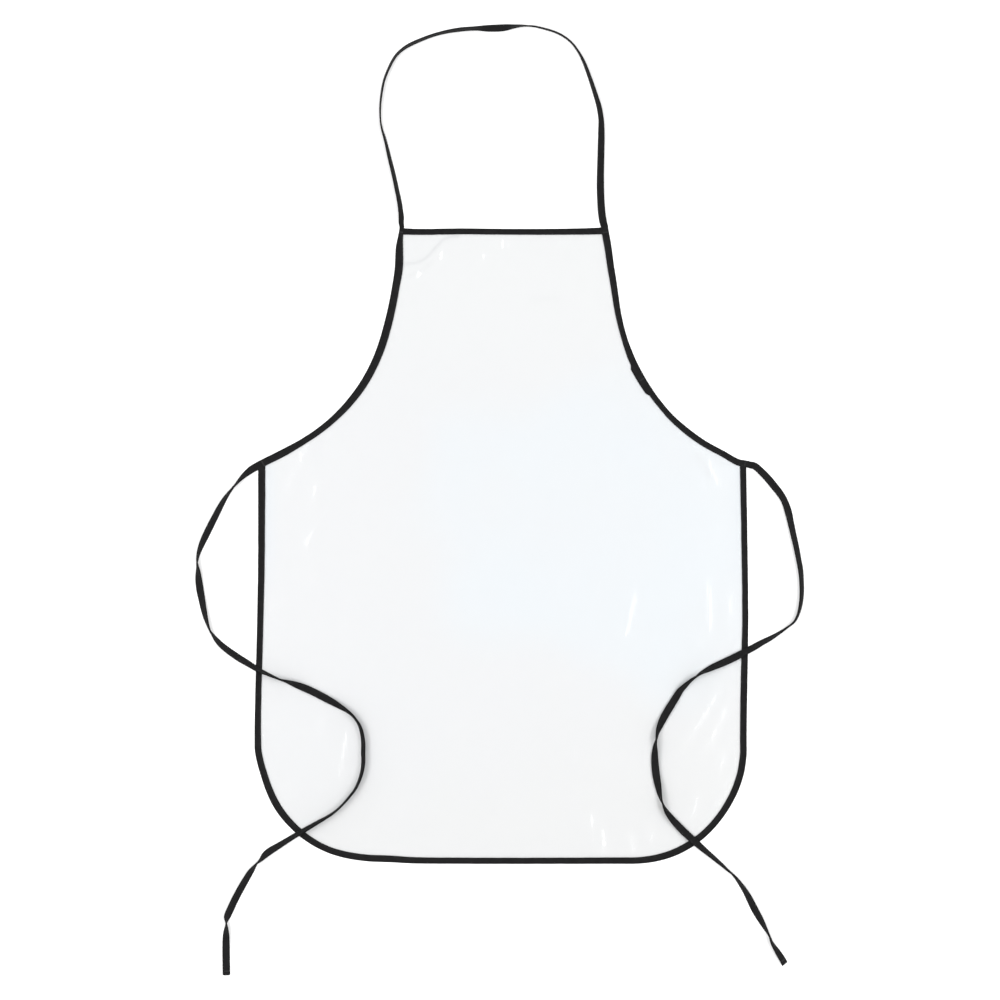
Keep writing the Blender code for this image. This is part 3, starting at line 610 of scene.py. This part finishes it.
STRAP_STATION = 0.0022
PATH_STATION = 0.003          # close enough together for the path to have the tape's length
CURVE_STEP = 0.0005           # how far ahead and behind the route's direction is taken
END_ROUNDING = 0.0014
END_SHARES = (1.0, 0.9, 0.6, 0.35, 0.12, 0.0)
LEAST_STATION = 0.0002
BOW_RISE = 0.4                # share of the bow above the flat section, in its middle
BOW_FALL = 0.6                # and below it, at its edges
BOW_START = 0.03
BOW_END = 0.02
TIE_TWIST_BOW = 0.0012
NECK_TWIST_BOW = 0.0007
RUN_ON = 0.008                # the free tape eases into its binding over this length
SEAM_HAIR = 0.00003
STITCH_STAGGER = 0.24         # share of a gap by which the back's stitches lie further on
STITCH_PROUD = 0.00004
TIE_TACK_PROUD = 0.00009


class Strap(SewnTape):
    """A folded tape on a smooth route, which rolls about its own line as it goes.

    The route is its outline from straight above. A tape that stands up is leaned and moved a
    little towards the camera's axis, so that the camera sees that outline too. Across points
    left of its travel where side is 1 and right where it is -1, and open_edge is 1 where the
    tape's two open edges lie that way.
    """

    stitch_seed = 5

    def __init__(self, route, feed, side, open_edge, seed, start_ring, end_ring=None,
                 round_end=False, twist_bow=TIE_TWIST_BOW):
        rows = [(x * MM, y * MM, lift * MM, math.radians(roll)) for x, y, lift, roll in route]
        knots = running_lengths(rows)
        self.curve = SmoothRows(knots, rows)
        self.length = knots[-1]
        self.side = side
        self.open_edge = open_edge
        self.seed = seed
        self.start_ring = start_ring
        self.end_ring = end_ring
        self.round_end = round_end
        self.twist_bow = twist_bow
        feed_rows = [(shift * MM, width * MM) for _, shift, width in feed]
        self.feed = SmoothRows([distance * MM for distance, _, _ in feed], feed_rows)

    def width_at(self, distance):
        return self.feed.at(distance)[1] + stray(distance, STRAP_WIDTH_STRAY, self.seed + 3)

    def frame_at(self, distance):
        """The tape's middle, and the directions along it, across it and out of its face."""
        x, y, lift, roll = self.curve.at(distance)
        ahead = self.curve.at(min(distance + CURVE_STEP, self.length))
        behind = self.curve.at(max(distance - CURVE_STEP, 0.0))
        travel = Vector((ahead[0] - behind[0], ahead[1] - behind[1])).normalized()
        flat = left_of(travel) * self.side
        shift, width = self.feed.at(distance)
        away = Vector((x - VIEW_MIDDLE[0], y - VIEW_MIDDLE[1])) / VIEW_DISTANCE
        roll += math.atan(away.dot(flat))
        sine, cosine = math.sin(roll), math.cos(roll)
        height = max(lift, 0.0) + (abs(sine) * width + abs(cosine) * STRAP_THICKNESS) / 2
        height += BOW_FALL * self.twist_bow * sine ** 4 * abs(cosine)
        middle = Vector((x, y)) - height * away + shift * flat
        return (Vector((*middle, height)), Vector((*travel, 0.0)),
                Vector((*(flat * cosine), sine)), Vector((*(-flat * sine), cosine)))

    def bulge_at(self, distance, offset):
        """How far the tape bows out of its flat section here, most in its twists."""
        fade = max(min(distance / BOW_START, 1.0, (self.length - distance) / BOW_END), 0.0)
        twist = math.sin(self.curve.at(distance)[3]) ** 4
        bow = stray(distance, STRAP_BOW_STRAY, self.seed + 11) + self.twist_bow * twist
        return fade * bow * (BOW_RISE - (offset / (self.width_at(distance) / 2)) ** 2)

    def point(self, distance, offset, height):
        """A point this far towards the open edge from the middle, and out of the face."""
        middle, _, across, up = self.frame_at(distance)
        height += self.bulge_at(distance, offset)
        return middle + offset * self.open_edge * across + height * up

    def stations(self):
        """Where the tape has its sections, closer together at a rounded end."""
        distances = spaced(0.0, self.length, STRAP_STATION)
        if not self.round_end:
            return distances
        rounded = [self.length - share * END_ROUNDING for share in END_SHARES]
        return distances[:-1] + [d for d in rounded if d > distances[-2] + LEAST_STATION]

    def trim_at(self, distance):
        """How much narrower each side of the tape is, near a rounded end."""
        past = END_ROUNDING - (self.length - distance)
        if not self.round_end or past < 0:
            return 0.0
        return END_ROUNDING - math.sqrt(max(END_ROUNDING ** 2 - past ** 2, 0.0))

    def section(self, distance):
        trim = self.trim_at(distance)
        width = self.width_at(distance)
        outline = fold_section(width - 2 * trim, STRAP_THICKNESS, STRAP_LAYER, STRAP_PUFF)
        ring = [self.point(distance, depth + trim - width / 2, height - STRAP_THICKNESS / 2)
                for depth, height, _ in outline]
        return self.run_on(ring, distance), weave_places(outline, distance)

    def tape(self, name, material):
        return skin(name, [self.section(distance) for distance in self.stations()], material)

    def run_on(self, ring, distance):
        """Near a sewn end, ease a section into that of the binding it runs on from."""
        for sewn, end, ahead in ((self.start_ring, 0.0, 1), (self.end_ring, self.length, -1)):
            gap = abs(distance - end)
            if sewn is not None and gap < RUN_ON:
                place, travel = self.frame_at(end)[:2]
                away = self.frame_at(distance)[0] - place + ahead * SEAM_HAIR * travel
                share = float(smooth_step(gap, 0.0, RUN_ON))
                return [(a + away).lerp(b, share) for a, b in zip(sewn, ring)]
        return ring

    def path(self):
        """Points along the tape's middle."""
        return [tuple(self.frame_at(d)[0]) for d in spaced(0.0, self.length, PATH_STATION)]

    def stitch(self, near, face, sway):
        """One stitch near the open edge, on the front face (1) or the back one (-1)."""
        start = near + (0.5 - face * STITCH_STAGGER / 2) * (STITCH_PITCH - STITCH_LENGTH)
        end = start + STITCH_LENGTH
        offset = self.width_at(start) / 2 - STITCH_INSET + sway
        height = face * (STRAP_THICKNESS / 2 + STITCH_PROUD)
        up = self.frame_at((start + end) / 2)[3] * face
        return self.point(start, offset, height), self.point(end, offset, height), up

    def tack_thread(self, first, second, distance):
        """One thread, with its ends this far across from the tape's middle."""
        height = STRAP_THICKNESS / 2 + TIE_TACK_PROUD
        return (self.point(distance - TACK_WIDTH / 2, first, height),
                self.point(distance + TACK_WIDTH / 2, second, height),
                self.frame_at(distance)[3])


# ---- The clear sheet ----

FILM_COLUMNS = 176
FILM_ROWS = 232
FILM_ROW_SHIFT = 0.08         # moves the film's rows up a little, most of all in its middle
OUTLINE_STATION = 0.002
AREA_STEPS = 400
FILM_FLOOR = 0.00022          # lowest height of the film's middle
FILM_CEILING = 0.00165
WAVES_FROM_EDGE = (0.006, 0.020)     # its waves rise over these distances from its edge
CREASES_FROM_EDGE = (0.004, 0.012)

# Gentle waves: their height, wavelength across, stretch from hem to neck, and seed.
FILM_WAVES = ((0.00030, 0.11, 1.0, 3.1), (0.00008, 0.042, 1.5, 8.7), (0.00002, 0.017, 1.8, 5.3))

CREASE_SHARE = 0.8            # how much of each crease's height is used
CREASE_BEND = 0.42            # sideways bend of a crease, in half widths
STEEP_FLANK = 0.75            # widths of a crease's two flanks, in half widths
GENTLE_FLANK = 1.35
CREASE_START = (-0.12, 0.3)   # a crease rises between these shares of its length
CREASE_END = (-1.12, -0.7)    # and sinks between these, written as negative shares

# Creases: x and y of each end, height and half width, in millimetres.
CREASES = [
    (-70, 356, -112.8, 330.5, 0.75, 5), (-70, 330, -67, 360, 0.76, 4.6),
    (-101, 314, -82, 331, 0.72, 4.6), (2, 346, 5, 364, 0.85, 4.6),
    (-70, 338, -116, 304, 0.55, 5.5), (-84, 300, -120, 277, 0.35, 6),
    (-80, 290, -88, 262, 0.25, 5), (-22, 335, -14, 348, 0.8, 4.6),
    (-238, 92, -224, 122, 0.45, 5), (-252, 60, -238, 92, 0.35, 5.5),
    (-222, 44, -212, 78, 0.45, 6), (-231, -6, -216, 22, 0.53, 5.5),
    (-220, -48, -218, -20, 0.3, 5), (-184, -160, -176, -60, 0.35, 5.5),
    (-189, -284, -175, -202, 0.58, 6.5), (-214, -226, -204, -196, 0.35, 5),
    (108, 172, 114, 146, 0.35, 5), (226, 112, 252, 66, 0.4, 5.5),
    (216, 104, 236, 60, 0.35, 6), (152, -40, 134, -122, 0.8, 6.5),
    (235, -32, 237, -108, 0.42, 6), (261, -54, 262, -88, 0.28, 5),
    (227, -90, 221, -124, 0.36, 6), (254, -160, 196, -248, 0.56, 6.5),
    (264, -176, 224, -252, 0.34, 5.5), (256, -238, 247, -268, 0.28, 5.5),
    (222, -286, 216, -322, 0.45, 6), (74, -236, 84, -254, 0.75, 5),
    (96, -306, 103, -368, 1.08, 5.5), (110, -324, 115, -366, 0.92, 5),
    (140, -334, 150, -366, 0.96, 5.5), (167, -326, 170, -352, 0.6, 5.5),
]

# Painted shade along creases: points in millimetres, and how dark each is.
CREASE_SHADE_WIDTH = 0.0016
CREASE_SHADE_LINES = [
    ([(-118, 331), (-107, 332.4), (-98, 334.4), (-92.5, 337.8), (-86, 343.8),
      (-77, 354), (-71, 360.2), (-63.5, 363), (-54, 364)], 0.85),
    ([(-114, 316), (-96, 324), (-84, 334)], 0.35),
    ([(226, 108), (236, 96), (243, 80)], 0.5),
    ([(30, 292), (48, 290), (66, 291)], 0.3),
]

# Where the film's painted light lies: a cooler patch, greyer painted shade towards the hem, a lighter
# bib, and darker, cooler painted shade near the waist's edges. Each fade runs between two distances in
# metres, from none of the painted colour to all of it, and is negative where it grows as the distance
# shrinks. The cool patch's fade is in shares of its reach, and shrinks outwards.
COOL_MIDDLE = (0.15, 0.02)
COOL_REACH = (0.24, 0.21)
COOL_FADE = (0.65, 1.15)
COOL_RAGGEDNESS = 0.35
SHADE_LEAN = 0.25
SHADE_RAGGEDNESS = 0.05
SHADE_FADE = (0.16, 0.34)
BIB_FADE = (0.12, 0.34)
WAIST_LOW_FADE = (-0.07, 0.01)
WAIST_HIGH_FADE = (-0.125, -0.085)
WAIST_EDGE_FADE = (-0.026, -0.004)


def side_of_sheet(edges, side, height):
    """Half width of the sewn sheet at each height, out to its finished edge."""
    lower, left, right, _ = edges
    found = []
    for edge in (lower, right if side > 0 else left):
        for distance in spaced(0.0, edge.length, OUTLINE_STATION):
            place = edge.edge_at(distance)
            if place.x * side > 0:
                found.append((place.y, abs(place.x)))
    found.sort()
    return np.interp(height, *np.array(found).T)


def beside_line(x, y, ends):
    """Share of the way along a line, distance to its left, and the line's length."""
    x0, y0, x1, y1 = (value * MM for value in ends)
    run = math.hypot(x1 - x0, y1 - y0)
    ux, uy = (x1 - x0) / run, (y1 - y0) / run
    along = ((x - x0) * ux + (y - y0) * uy) / run
    return along, (y - y0) * ux - (x - x0) * uy, run


def crease_heights(x, y):
    total = np.zeros_like(x)
    for *ends, height, half_width in CREASES:
        along, aside, _ = beside_line(x, y, ends)
        aside -= CREASE_BEND * half_width * MM * np.sin(along * math.pi)
        flank = np.where(aside > 0, STEEP_FLANK, GENTLE_FLANK) * half_width * MM
        fade = smooth_step(along, *CREASE_START) * smooth_step(-along, *CREASE_END)
        total += CREASE_SHARE * height * MM * fade * np.exp(-(aside / flank) ** 2)
    return total


def painted_crease_shade(x, y):
    """Painted shade along the film's sharpest creases: faint dark lines."""
    total = np.zeros_like(x)
    for path, strength in CREASE_SHADE_LINES:
        for start, end in zip(path, path[1:]):
            along, aside, run = beside_line(x, y, (*start, *end))
            past_end = (along - np.clip(along, 0.0, 1.0)) * run
            away = np.hypot(aside, past_end)
            total = np.maximum(total, strength * np.exp(-(away / CREASE_SHADE_WIDTH) ** 2))
    return total


def noise_field(x, y, wavelength, stretch, seed):
    values = [noise.noise(Vector((a / wavelength, b / wavelength / stretch, seed)))
              for a, b in zip(x.ravel(), y.ravel())]
    return np.array(values).reshape(x.shape)


def film_painted_light(x, y, gap, slow, middle):
    """How strong each zone of the film's painted light and shade is; gap is the distance from its
    edge.
    """
    patch = np.hypot((x - COOL_MIDDLE[0]) / COOL_REACH[0], (y - COOL_MIDDLE[1]) / COOL_REACH[1])
    waist = smooth_step(y, *WAIST_LOW_FADE) * smooth_step(-gap, *WAIST_EDGE_FADE)
    return {
        "crease": painted_crease_shade(x, y),
        "cool": 1.0 - smooth_step(patch + COOL_RAGGEDNESS * slow, *COOL_FADE),
        "shade": smooth_step(-y + SHADE_LEAN * x + SHADE_RAGGEDNESS * middle, *SHADE_FADE),
        "bib": smooth_step(y, *BIB_FADE),
        "waist": waist * smooth_step(-y, *WAIST_HIGH_FADE),
    }


def sheet_faces(rows, columns):
    """Faces of a thin closed sheet: an upper grid of points, a lower one, and the rim."""
    count = rows * columns
    index = np.arange(count).reshape(rows, columns)
    corners = [index[:-1, :-1], index[:-1, 1:], index[1:, 1:], index[1:, :-1]]
    faces = np.stack(corners, axis=-1).reshape(-1, 4).tolist()
    faces += (np.stack(corners[::-1], axis=-1).reshape(-1, 4) + count).tolist()
    sides = [index[0, :], index[1:, -1], index[-1, -2::-1], index[-2:0:-1, 0]]
    rim = np.concatenate(sides).tolist()
    faces += [(a, a + count, b + count, b) for a, b in zip(rim, rim[1:] + rim[:1])]
    return faces


def film_sheet(name, edges, material):
    """The clear sheet: a thin closed film, held by the bindings and gently creased between."""
    top = HALF_HEIGHT - FILM_TUCK
    rows = np.linspace(0.0, 1.0, FILM_ROWS)
    heights = -top + 2 * top * (rows + FILM_ROW_SHIFT * np.sin(math.pi * rows))
    right = side_of_sheet(edges, 1, heights) - FILM_TUCK
    left = side_of_sheet(edges, -1, heights) - FILM_TUCK
    shares = np.linspace(0.0, 1.0, FILM_COLUMNS)
    x = -left[:, None] + (right + left)[:, None] * shares[None, :]
    y = np.repeat(heights[:, None], FILM_COLUMNS, axis=1)
    gap = np.minimum.reduce([right[:, None] - x, x + left[:, None], top - y, y + top])
    waves = [noise_field(x, y, *wave[1:]) for wave in FILM_WAVES]
    calm = smooth_step(gap, *WAVES_FROM_EDGE)
    z = FILM_MIDDLE + calm * sum(wave[0] * field for wave, field in zip(FILM_WAVES, waves))
    z += smooth_step(gap, *CREASES_FROM_EDGE) * crease_heights(x, y)
    z = np.clip(z, FILM_FLOOR, FILM_CEILING)
    points = np.concatenate([np.stack([x, y, z + side * FILM / 2], axis=-1).reshape(-1, 3)
                             for side in (1, -1)])
    painted_light = film_painted_light(x, y, gap, *waves[:2])
    attributes = {key: np.concatenate([value.ravel()] * 2) for key, value in painted_light.items()}
    faces = sheet_faces(FILM_ROWS, FILM_COLUMNS)
    return mesh_object(name, points, faces, material, attributes)


def film_area(edges):
    """Flat area of the sheet's outline, in square metres."""
    heights = np.linspace(-HALF_HEIGHT, HALF_HEIGHT, AREA_STEPS)
    widths = side_of_sheet(edges, 1, heights) + side_of_sheet(edges, -1, heights)
    return float(np.sum((widths[1:] + widths[:-1]) / 2 * np.diff(heights)))


# ---- Materials ----

MIX_COLOURS = (6, 7)          # the Mix node's two colour inputs
MIX_RESULT = 2                # and its colour output


class Nodes:
    """Short ways to add and join a material's nodes."""

    def __init__(self, name, preview):
        self.material = bpy.data.materials.new(name)
        self.material.use_nodes = True
        self.material.diffuse_color = preview
        self.tree = self.material.node_tree
        self.shader = self.tree.nodes["Principled BSDF"]

    def put(self, node, inputs):
        """Set a node's inputs to numbers, or join them to other nodes' outputs."""
        for key, value in inputs.items():
            if isinstance(value, bpy.types.NodeSocket):
                self.tree.links.new(value, node.inputs[key])
            else:
                node.inputs[key].default_value = value

    def add(self, kind, inputs=None, **settings):
        node = self.tree.nodes.new("ShaderNode" + kind)
        for key, value in settings.items():
            setattr(node, key, value)
        self.put(node, inputs or {})
        return node

    def maths(self, operation, first, second=0.0):
        return self.add("Math", {0: first, 1: second}, operation=operation).outputs[0]

    def strength(self, name):
        """A point attribute that holds one number."""
        return self.add("Attribute", attribute_name=name).outputs["Fac"]

    def tape_place(self):
        """Distance along the tape and around its section, and painted edge shade."""
        place = self.add("Attribute", attribute_name="tape_place").outputs["Vector"]
        return self.add("SeparateXYZ", {0: place}).outputs

    def noise(self, scale, detail, stretch=None):
        """Cloudy noise, closer together in one direction if it has a stretch."""
        place = self.add("TexCoord").outputs["Object"]
        if stretch is not None:
            place = self.add("Mapping", {"Scale": stretch, "Vector": place}).outputs["Vector"]
        inputs = {"Scale": scale, "Detail": detail, "Vector": place}
        return self.add("TexNoise", inputs).outputs["Fac"]

    def blend(self, factor, first, second):
        """Mix two colours."""
        inputs = {0: factor, MIX_COLOURS[0]: first, MIX_COLOURS[1]: second}
        return self.add("Mix", inputs, data_type="RGBA").outputs[MIX_RESULT]

    def ramp(self, value, low, high):
        """Stretch a value so that low becomes 0 and high becomes 1."""
        inputs = {"Value": value, "From Min": low, "From Max": high}
        return self.add("MapRange", inputs).outputs["Result"]

    def bump(self, height, distance, strength):
        inputs = {"Height": height, "Distance": distance, "Strength": strength}
        return self.add("Bump", inputs).outputs["Normal"]


WEAVE_PITCH = 0.00062
TAPE_DARK = (0.0042, 0.0041, 0.0043, 1.0)
TAPE_PALE = (0.0072, 0.0070, 0.0073, 1.0)
TAPE_EDGE_SHADE = (0.0028, 0.0027, 0.0029, 1.0)


def woven_tape():
    """Matte charcoal woven tape: a plain weave with slubs, and painted shade darkening its edges."""
    n = Nodes("woven_tape_cloth", TAPE_PALE)
    along, around, edge = n.tape_place()
    turn = 2 * math.pi / WEAVE_PITCH
    warp, weft = (n.maths("SINE", n.maths("MULTIPLY", way, turn)) for way in (around, along))
    weave = n.maths("MULTIPLY", warp, weft)
    fine = n.noise(900.0, 2.0)
    slub = n.noise(140.0, 4.0)
    colour = n.blend(n.ramp(slub, 0.32, 0.68), TAPE_DARK, TAPE_PALE)
    fleck = n.maths("MULTIPLY", n.ramp(fine, 0.4, 0.8), 0.25)
    colour = n.blend(fleck, colour, TAPE_PALE)
    height = n.maths("ADD", n.maths("MULTIPLY", weave, 0.5), n.maths("MULTIPLY", slub, 1.2))
    n.put(n.shader, {
        # Painted shade darkens the tape towards its edges.
        "Base Color": n.blend(n.maths("MULTIPLY", edge, 0.5), colour, TAPE_EDGE_SHADE),
        "Roughness": n.maths("ADD", n.maths("MULTIPLY", fine, 0.14), 0.78),
        "Normal": n.bump(height, 0.00008, 0.6),
        "Specular IOR Level": 0.1,
        "Sheen Weight": 0.02,
        "Sheen Roughness": 0.5,
    })
    return n.material


THREAD_DARK = (0.005, 0.005, 0.0053, 1.0)
THREAD_PALE = (0.010, 0.010, 0.0105, 1.0)
THREAD_PREVIEW = (0.012, 0.012, 0.013, 1.0)


def sewing_thread():
    """Black polyester thread, a little shinier than the tape, with its plies showing."""
    n = Nodes("sewing_thread_ply", THREAD_PREVIEW)
    along, around, _ = n.tape_place()
    slant = n.maths("ADD", n.maths("MULTIPLY", along, 9000.0),
                    n.maths("MULTIPLY", around, 10000.0))
    n.put(n.shader, {
        "Base Color": n.blend(n.ramp(n.noise(260.0, 2.0), 0.35, 0.65), THREAD_DARK, THREAD_PALE),
        "Normal": n.bump(n.maths("SINE", slant), 0.00004, 0.5),
        "Roughness": 0.5,
        "Specular IOR Level": 0.2,
        "Sheen Weight": 0.03,
    })
    return n.material


VINYL_WARM = (0.7447, 0.7488, 0.7542, 1.0)
VINYL_COOL_PAINTED_LIGHT = (0.7395, 0.7560, 0.7688, 1.0)
VINYL_PAINTED_SHADE = (0.7453, 0.7477, 0.7467, 1.0)
VINYL_BIB_PAINTED_LIGHT = (0.7505, 0.7553, 0.7574, 1.0)
VINYL_WAIST_PAINTED_SHADE = (0.7330, 0.7490, 0.7620, 1.0)
VINYL_CREASE_SHADE = (0.690, 0.694, 0.701, 1.0)
VINYL_ROUGHNESS = 0.12
VINYL_IOR = 1.48
STREAK_STRETCH = (230.0, 42.0, 1.0)


def clear_vinyl():
    """Clear glossy vinyl, faintly tinted, that lets light through to the floor below it."""
    n = Nodes("clear_vinyl_film", VINYL_COOL_PAINTED_LIGHT)
    cloud = n.maths("MULTIPLY", n.ramp(n.noise(7.0, 3.0), 0.35, 0.65), 0.35)
    cool = n.maths("MULTIPLY", n.strength("cool"), n.maths("ADD", cloud, 0.65))
    shade = n.maths("MULTIPLY", n.strength("shade"), 0.6)
    # Painted light: a cooler colour in a ragged patch.
    colour = n.blend(cool, VINYL_WARM, VINYL_COOL_PAINTED_LIGHT)
    # Painted shade, greyer, towards the hem.
    colour = n.blend(shade, colour, VINYL_PAINTED_SHADE)
    # Painted light: the bib a little lighter.
    colour = n.blend(n.strength("bib"), colour, VINYL_BIB_PAINTED_LIGHT)
    # Painted shade, a little cooler, near the sheet's edges at the waist.
    colour = n.blend(n.strength("waist"), colour, VINYL_WAIST_PAINTED_SHADE)
    # Painted shade: faint dark lines along creases.
    colour = n.blend(n.strength("crease"), colour, VINYL_CREASE_SHADE)
    ripple = n.maths("MULTIPLY", n.noise(60.0, 1.0), 0.5)
    rough = n.maths("ADD", ripple, n.noise(1.0, 2.0, STREAK_STRETCH))
    n.put(n.shader, {
        "Base Color": colour,
        "Normal": n.bump(rough, 0.0003, 0.30),
        "Roughness": VINYL_ROUGHNESS,
        "IOR": VINYL_IOR,
        "Transmission Weight": 1.0,
    })
    rays = n.add("LightPath").outputs
    passing = n.maths("MAXIMUM", rays["Is Shadow Ray"], rays["Is Diffuse Ray"])
    one_face = n.add("Gamma", {"Color": colour, "Gamma": 0.5})
    through = n.add("BsdfTransparent", {"Color": one_face.outputs[0]})
    mix = n.add("MixShader", {0: passing, 1: n.shader.outputs[0], 2: through.outputs[0]})
    n.put(n.tree.nodes["Material Output"], {"Surface": mix.outputs[0]})
    return n.material


FLOOR_COLOUR = (0.80, 0.80, 0.80, 1.0)


def floor_paint():
    n = Nodes("floor_paint", FLOOR_COLOUR)
    n.put(n.shader, {"Base Color": FLOOR_COLOUR, "Roughness": 0.9, "Specular IOR Level": 0.1})
    return n.material


# ---- Fitting the pieces to the frame ----


def fit(node):
    """Hide the CAD node that a piece stands for."""
    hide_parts(node)


def still(piece, node):
    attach(piece, "apron")
    fit(node)
    return piece


def bending(piece, node):
    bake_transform(piece)
    fit(node)


# ---- The apron, piece by piece ----

def build_strap(strap, tape_node, row_name, row_end, cloth, thread):
    """A free tape and its stitching."""
    tape = strap.tape(tape_node + "_tape", cloth)
    bending(tape, tape_node)
    row = strap.stitches(row_name + "_threads", FIRST_STITCH, row_end, thread)
    bending(row, row_name + "_stitching")
    return tape, row


def build_neck_loop(left, right, cloth, thread):
    strap = Strap(NECK_STRAP_ROUTE, NECK_STRAP_FEED, 1, -1, 101,
                  binding_section(left, 0.0, -BIB_SLOPE)[0],
                  binding_section(right, right.length, BIB_SLOPE)[0],
                  twist_bow=NECK_TWIST_BOW)
    tape, row = build_strap(strap, "neck_strap", "neck_strap", strap.length - FIRST_STITCH,
                            cloth, thread)
    path = strap.path()


def build_tie(side_name, strap, cloth, thread):
    body = side_name + "_tie"
    tack_at = strap.length - TIE_TACK_TO_END
    tape, row = build_strap(strap, side_name + "_waist_tie", body, tack_at - STITCH_TO_TACK,
                            cloth, thread)
    tack = strap.tack(body + "_end_threads", TACK_LENGTH, thread, tack_at)
    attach(tack, body)
    fit(body + "_end_tack")
    path = strap.path()


def build_bindings(edges, cloth):
    side, left, right, bib = edges
    join = right.distance_to_height(SPLICE_HEIGHT)
    bib_start = BIB_HALF_WIDTH - right.inner_x_at(right.length) + BUTT_GAP
    bib_end = BIB_HALF_WIDTH - left.inner_x_at(0.0) - BUTT_GAP
    tapes = [
        ("side_and_hem", side, 0.0, side.length, -WAIST_SLOPE, WAIST_SLOPE),
        ("left_armhole", left, 0.0, left.length, -BIB_SLOPE, 0.0),
        ("right_armhole_lower", right, 0.0, join - SPLICE_GAP / 2, 0.0, 0.0),
        ("right_armhole_upper", right, join + SPLICE_GAP / 2, right.length, 0.0, BIB_SLOPE),
        ("bib_top", bib, bib_start, bib_end, -BIB_SLOPE, BIB_SLOPE),
    ]
    made = [still(binding(name + "_tape", *run, cloth), name + "_binding")
            for name, *run in tapes]
    lap = splice_lap("armhole_splice_tape", right, cloth)
    return made + [still(lap, "armhole_splice_lap")]


def build_edge_stitching(edges, thread):
    side, left, right, bib = edges
    clear = TACK_TO_SEAM + STITCH_TO_TACK
    bib_clear = LEFT_ARMHOLE_TAPE + STITCH_TO_TACK
    lap_low = right.distance_to_height(LAP_LOW)
    lap_high = right.distance_to_height(LAP_HIGH)
    rows = [
        ("side_and_hem", side, STITCH_TO_TACK, side.length - STITCH_TO_TACK),
        ("left_armhole", left, clear, left.length - clear),
        ("right_armhole_lower", right, clear, lap_low - STITCH_TO_TACK),
        ("right_armhole_upper", right, lap_high + STITCH_TO_TACK, right.length - clear),
        ("bib_top", bib, bib_clear, bib.length - bib_clear),
    ]
    made = []
    for name, edge, start, end in rows:
        row = edge.stitches(name + "_threads", start, end, thread)
        made.append(still(row, name + "_stitching"))
    tacks = [
        ("left_bib", left, TACK_TO_SEAM),
        ("left_waist", left, left.length - TACK_TO_SEAM),
        ("right_waist", right, TACK_TO_SEAM),
        ("right_bib", right, right.length - TACK_TO_SEAM),
    ]
    for name, edge, distance in tacks:
        width = edge.width_at(distance)
        length = min(TACK_LENGTH, width - TACK_MARGIN)
        tack = edge.tack(name + "_tack_threads", length, thread,
                         distance, width / 2, CORNER_TACK_HEIGHT)
        made.append(still(tack, name + "_bar_tack"))
    tack = right.tack("armhole_splice_threads", TACK_LENGTH, thread,
                      (lap_low + lap_high) / 2, LAP_TACK_MIDDLE, LAP_TACK_HEIGHT)
    return made + [still(tack, "armhole_splice_bar_tack")]


# ---- Camera, light and floor ----

FLOOR_SIZE = 9.0
FLOOR_DROP = 0.0002
WORLD_STRENGTH = 0.8

# Each side's lights: name, place and target of the right-hand one, size, and power in watts.
LIGHTS = [
    ("side_light", (1.3, 0.03, 1.9), (0.05, 0.03, 0.0), (1.7, 0.7), 16.0),
    ("panel", (1.62, 0.04, 3.6), (0.0, 0.04, 0.0), (2.6, 1.5), 78.0),
]


def add_camera():
    """A long lens straight above the apron."""
    data = bpy.data.cameras.new("camera")
    data.lens = LENS
    data.sensor_width = SENSOR
    data.clip_end = FAR_CLIP
    camera = bpy.data.objects.new("camera", data)
    camera.location = (*VIEW_MIDDLE, VIEW_DISTANCE)
    bpy.context.collection.objects.link(camera)
    bpy.context.scene.camera = camera


def add_floor():
    half = FLOOR_SIZE / 2
    corners = [(-half, -half), (half, -half), (half, half), (-half, half)]
    mesh = bpy.data.meshes.new("floor")
    mesh.from_pydata([(x, y, -FLOOR_DROP) for x, y in corners], [], [(0, 1, 2, 3)])
    mesh.materials.append(floor_paint())
    floor = bpy.data.objects.new("floor", mesh)
    bpy.context.collection.objects.link(floor)


def add_softbox(name, side, place, target, size, power):
    """A rectangular area light, pointed at a place, on the left (-1) or the right (1)."""
    data = bpy.data.lights.new(name, "AREA")
    data.shape = "RECTANGLE"
    data.size, data.size_y = size
    data.energy = power
    lamp = bpy.data.objects.new(name, data)
    lamp.location = (side * place[0], *place[1:])
    aim = Vector((side * target[0], *target[1:])) - lamp.location
    lamp.rotation_mode = "QUATERNION"
    lamp.rotation_quaternion = aim.to_track_quat("-Z", "Y")
    bpy.context.collection.objects.link(lamp)


def add_light():
    world = bpy.data.worlds.new("studio")
    world.use_nodes = True
    background = world.node_tree.nodes["Background"]
    background.inputs["Color"].default_value = (1.0, 1.0, 1.0, 1.0)
    background.inputs["Strength"].default_value = WORLD_STRENGTH
    scene = bpy.context.scene
    scene.world = world
    for side, side_name in ((-1, "left"), (1, "right")):
        for name, *settings in LIGHTS:
            add_softbox(side_name + "_" + name, side, *settings)
    scene.view_settings.view_transform = "Standard"
    scene.view_settings.look = "None"
    scene.view_settings.exposure = 0.0
    scene.view_settings.gamma = 1.0


# ---- Everything ----

def build():
    add_camera()
    cloth = woven_tape()
    thread = sewing_thread()
    edges = edge_lines()
    left, right = edges[1:3]
    build_neck_loop(left, right, cloth, thread)
    left_end = binding_section(left, left.length)[0]
    right_end = binding_section(right, 0.0)[0]
    left_tie = Strap(LEFT_TIE_ROUTE, LEFT_TIE_FEED, 1, 1, 102, left_end, round_end=True)
    right_tie = Strap(RIGHT_TIE_ROUTE, RIGHT_TIE_FEED, -1, 1, 103, right_end)
    build_tie("left", left_tie, cloth, thread)
    build_tie("right", right_tie, cloth, thread)
    hems = build_bindings(edges, cloth) + build_edge_stitching(edges, thread)
    film = film_sheet("vinyl_sheet", edges, clear_vinyl())
    still(film, "vinyl_panel")
    film_area(edges)
    add_floor()
    add_light()


build()
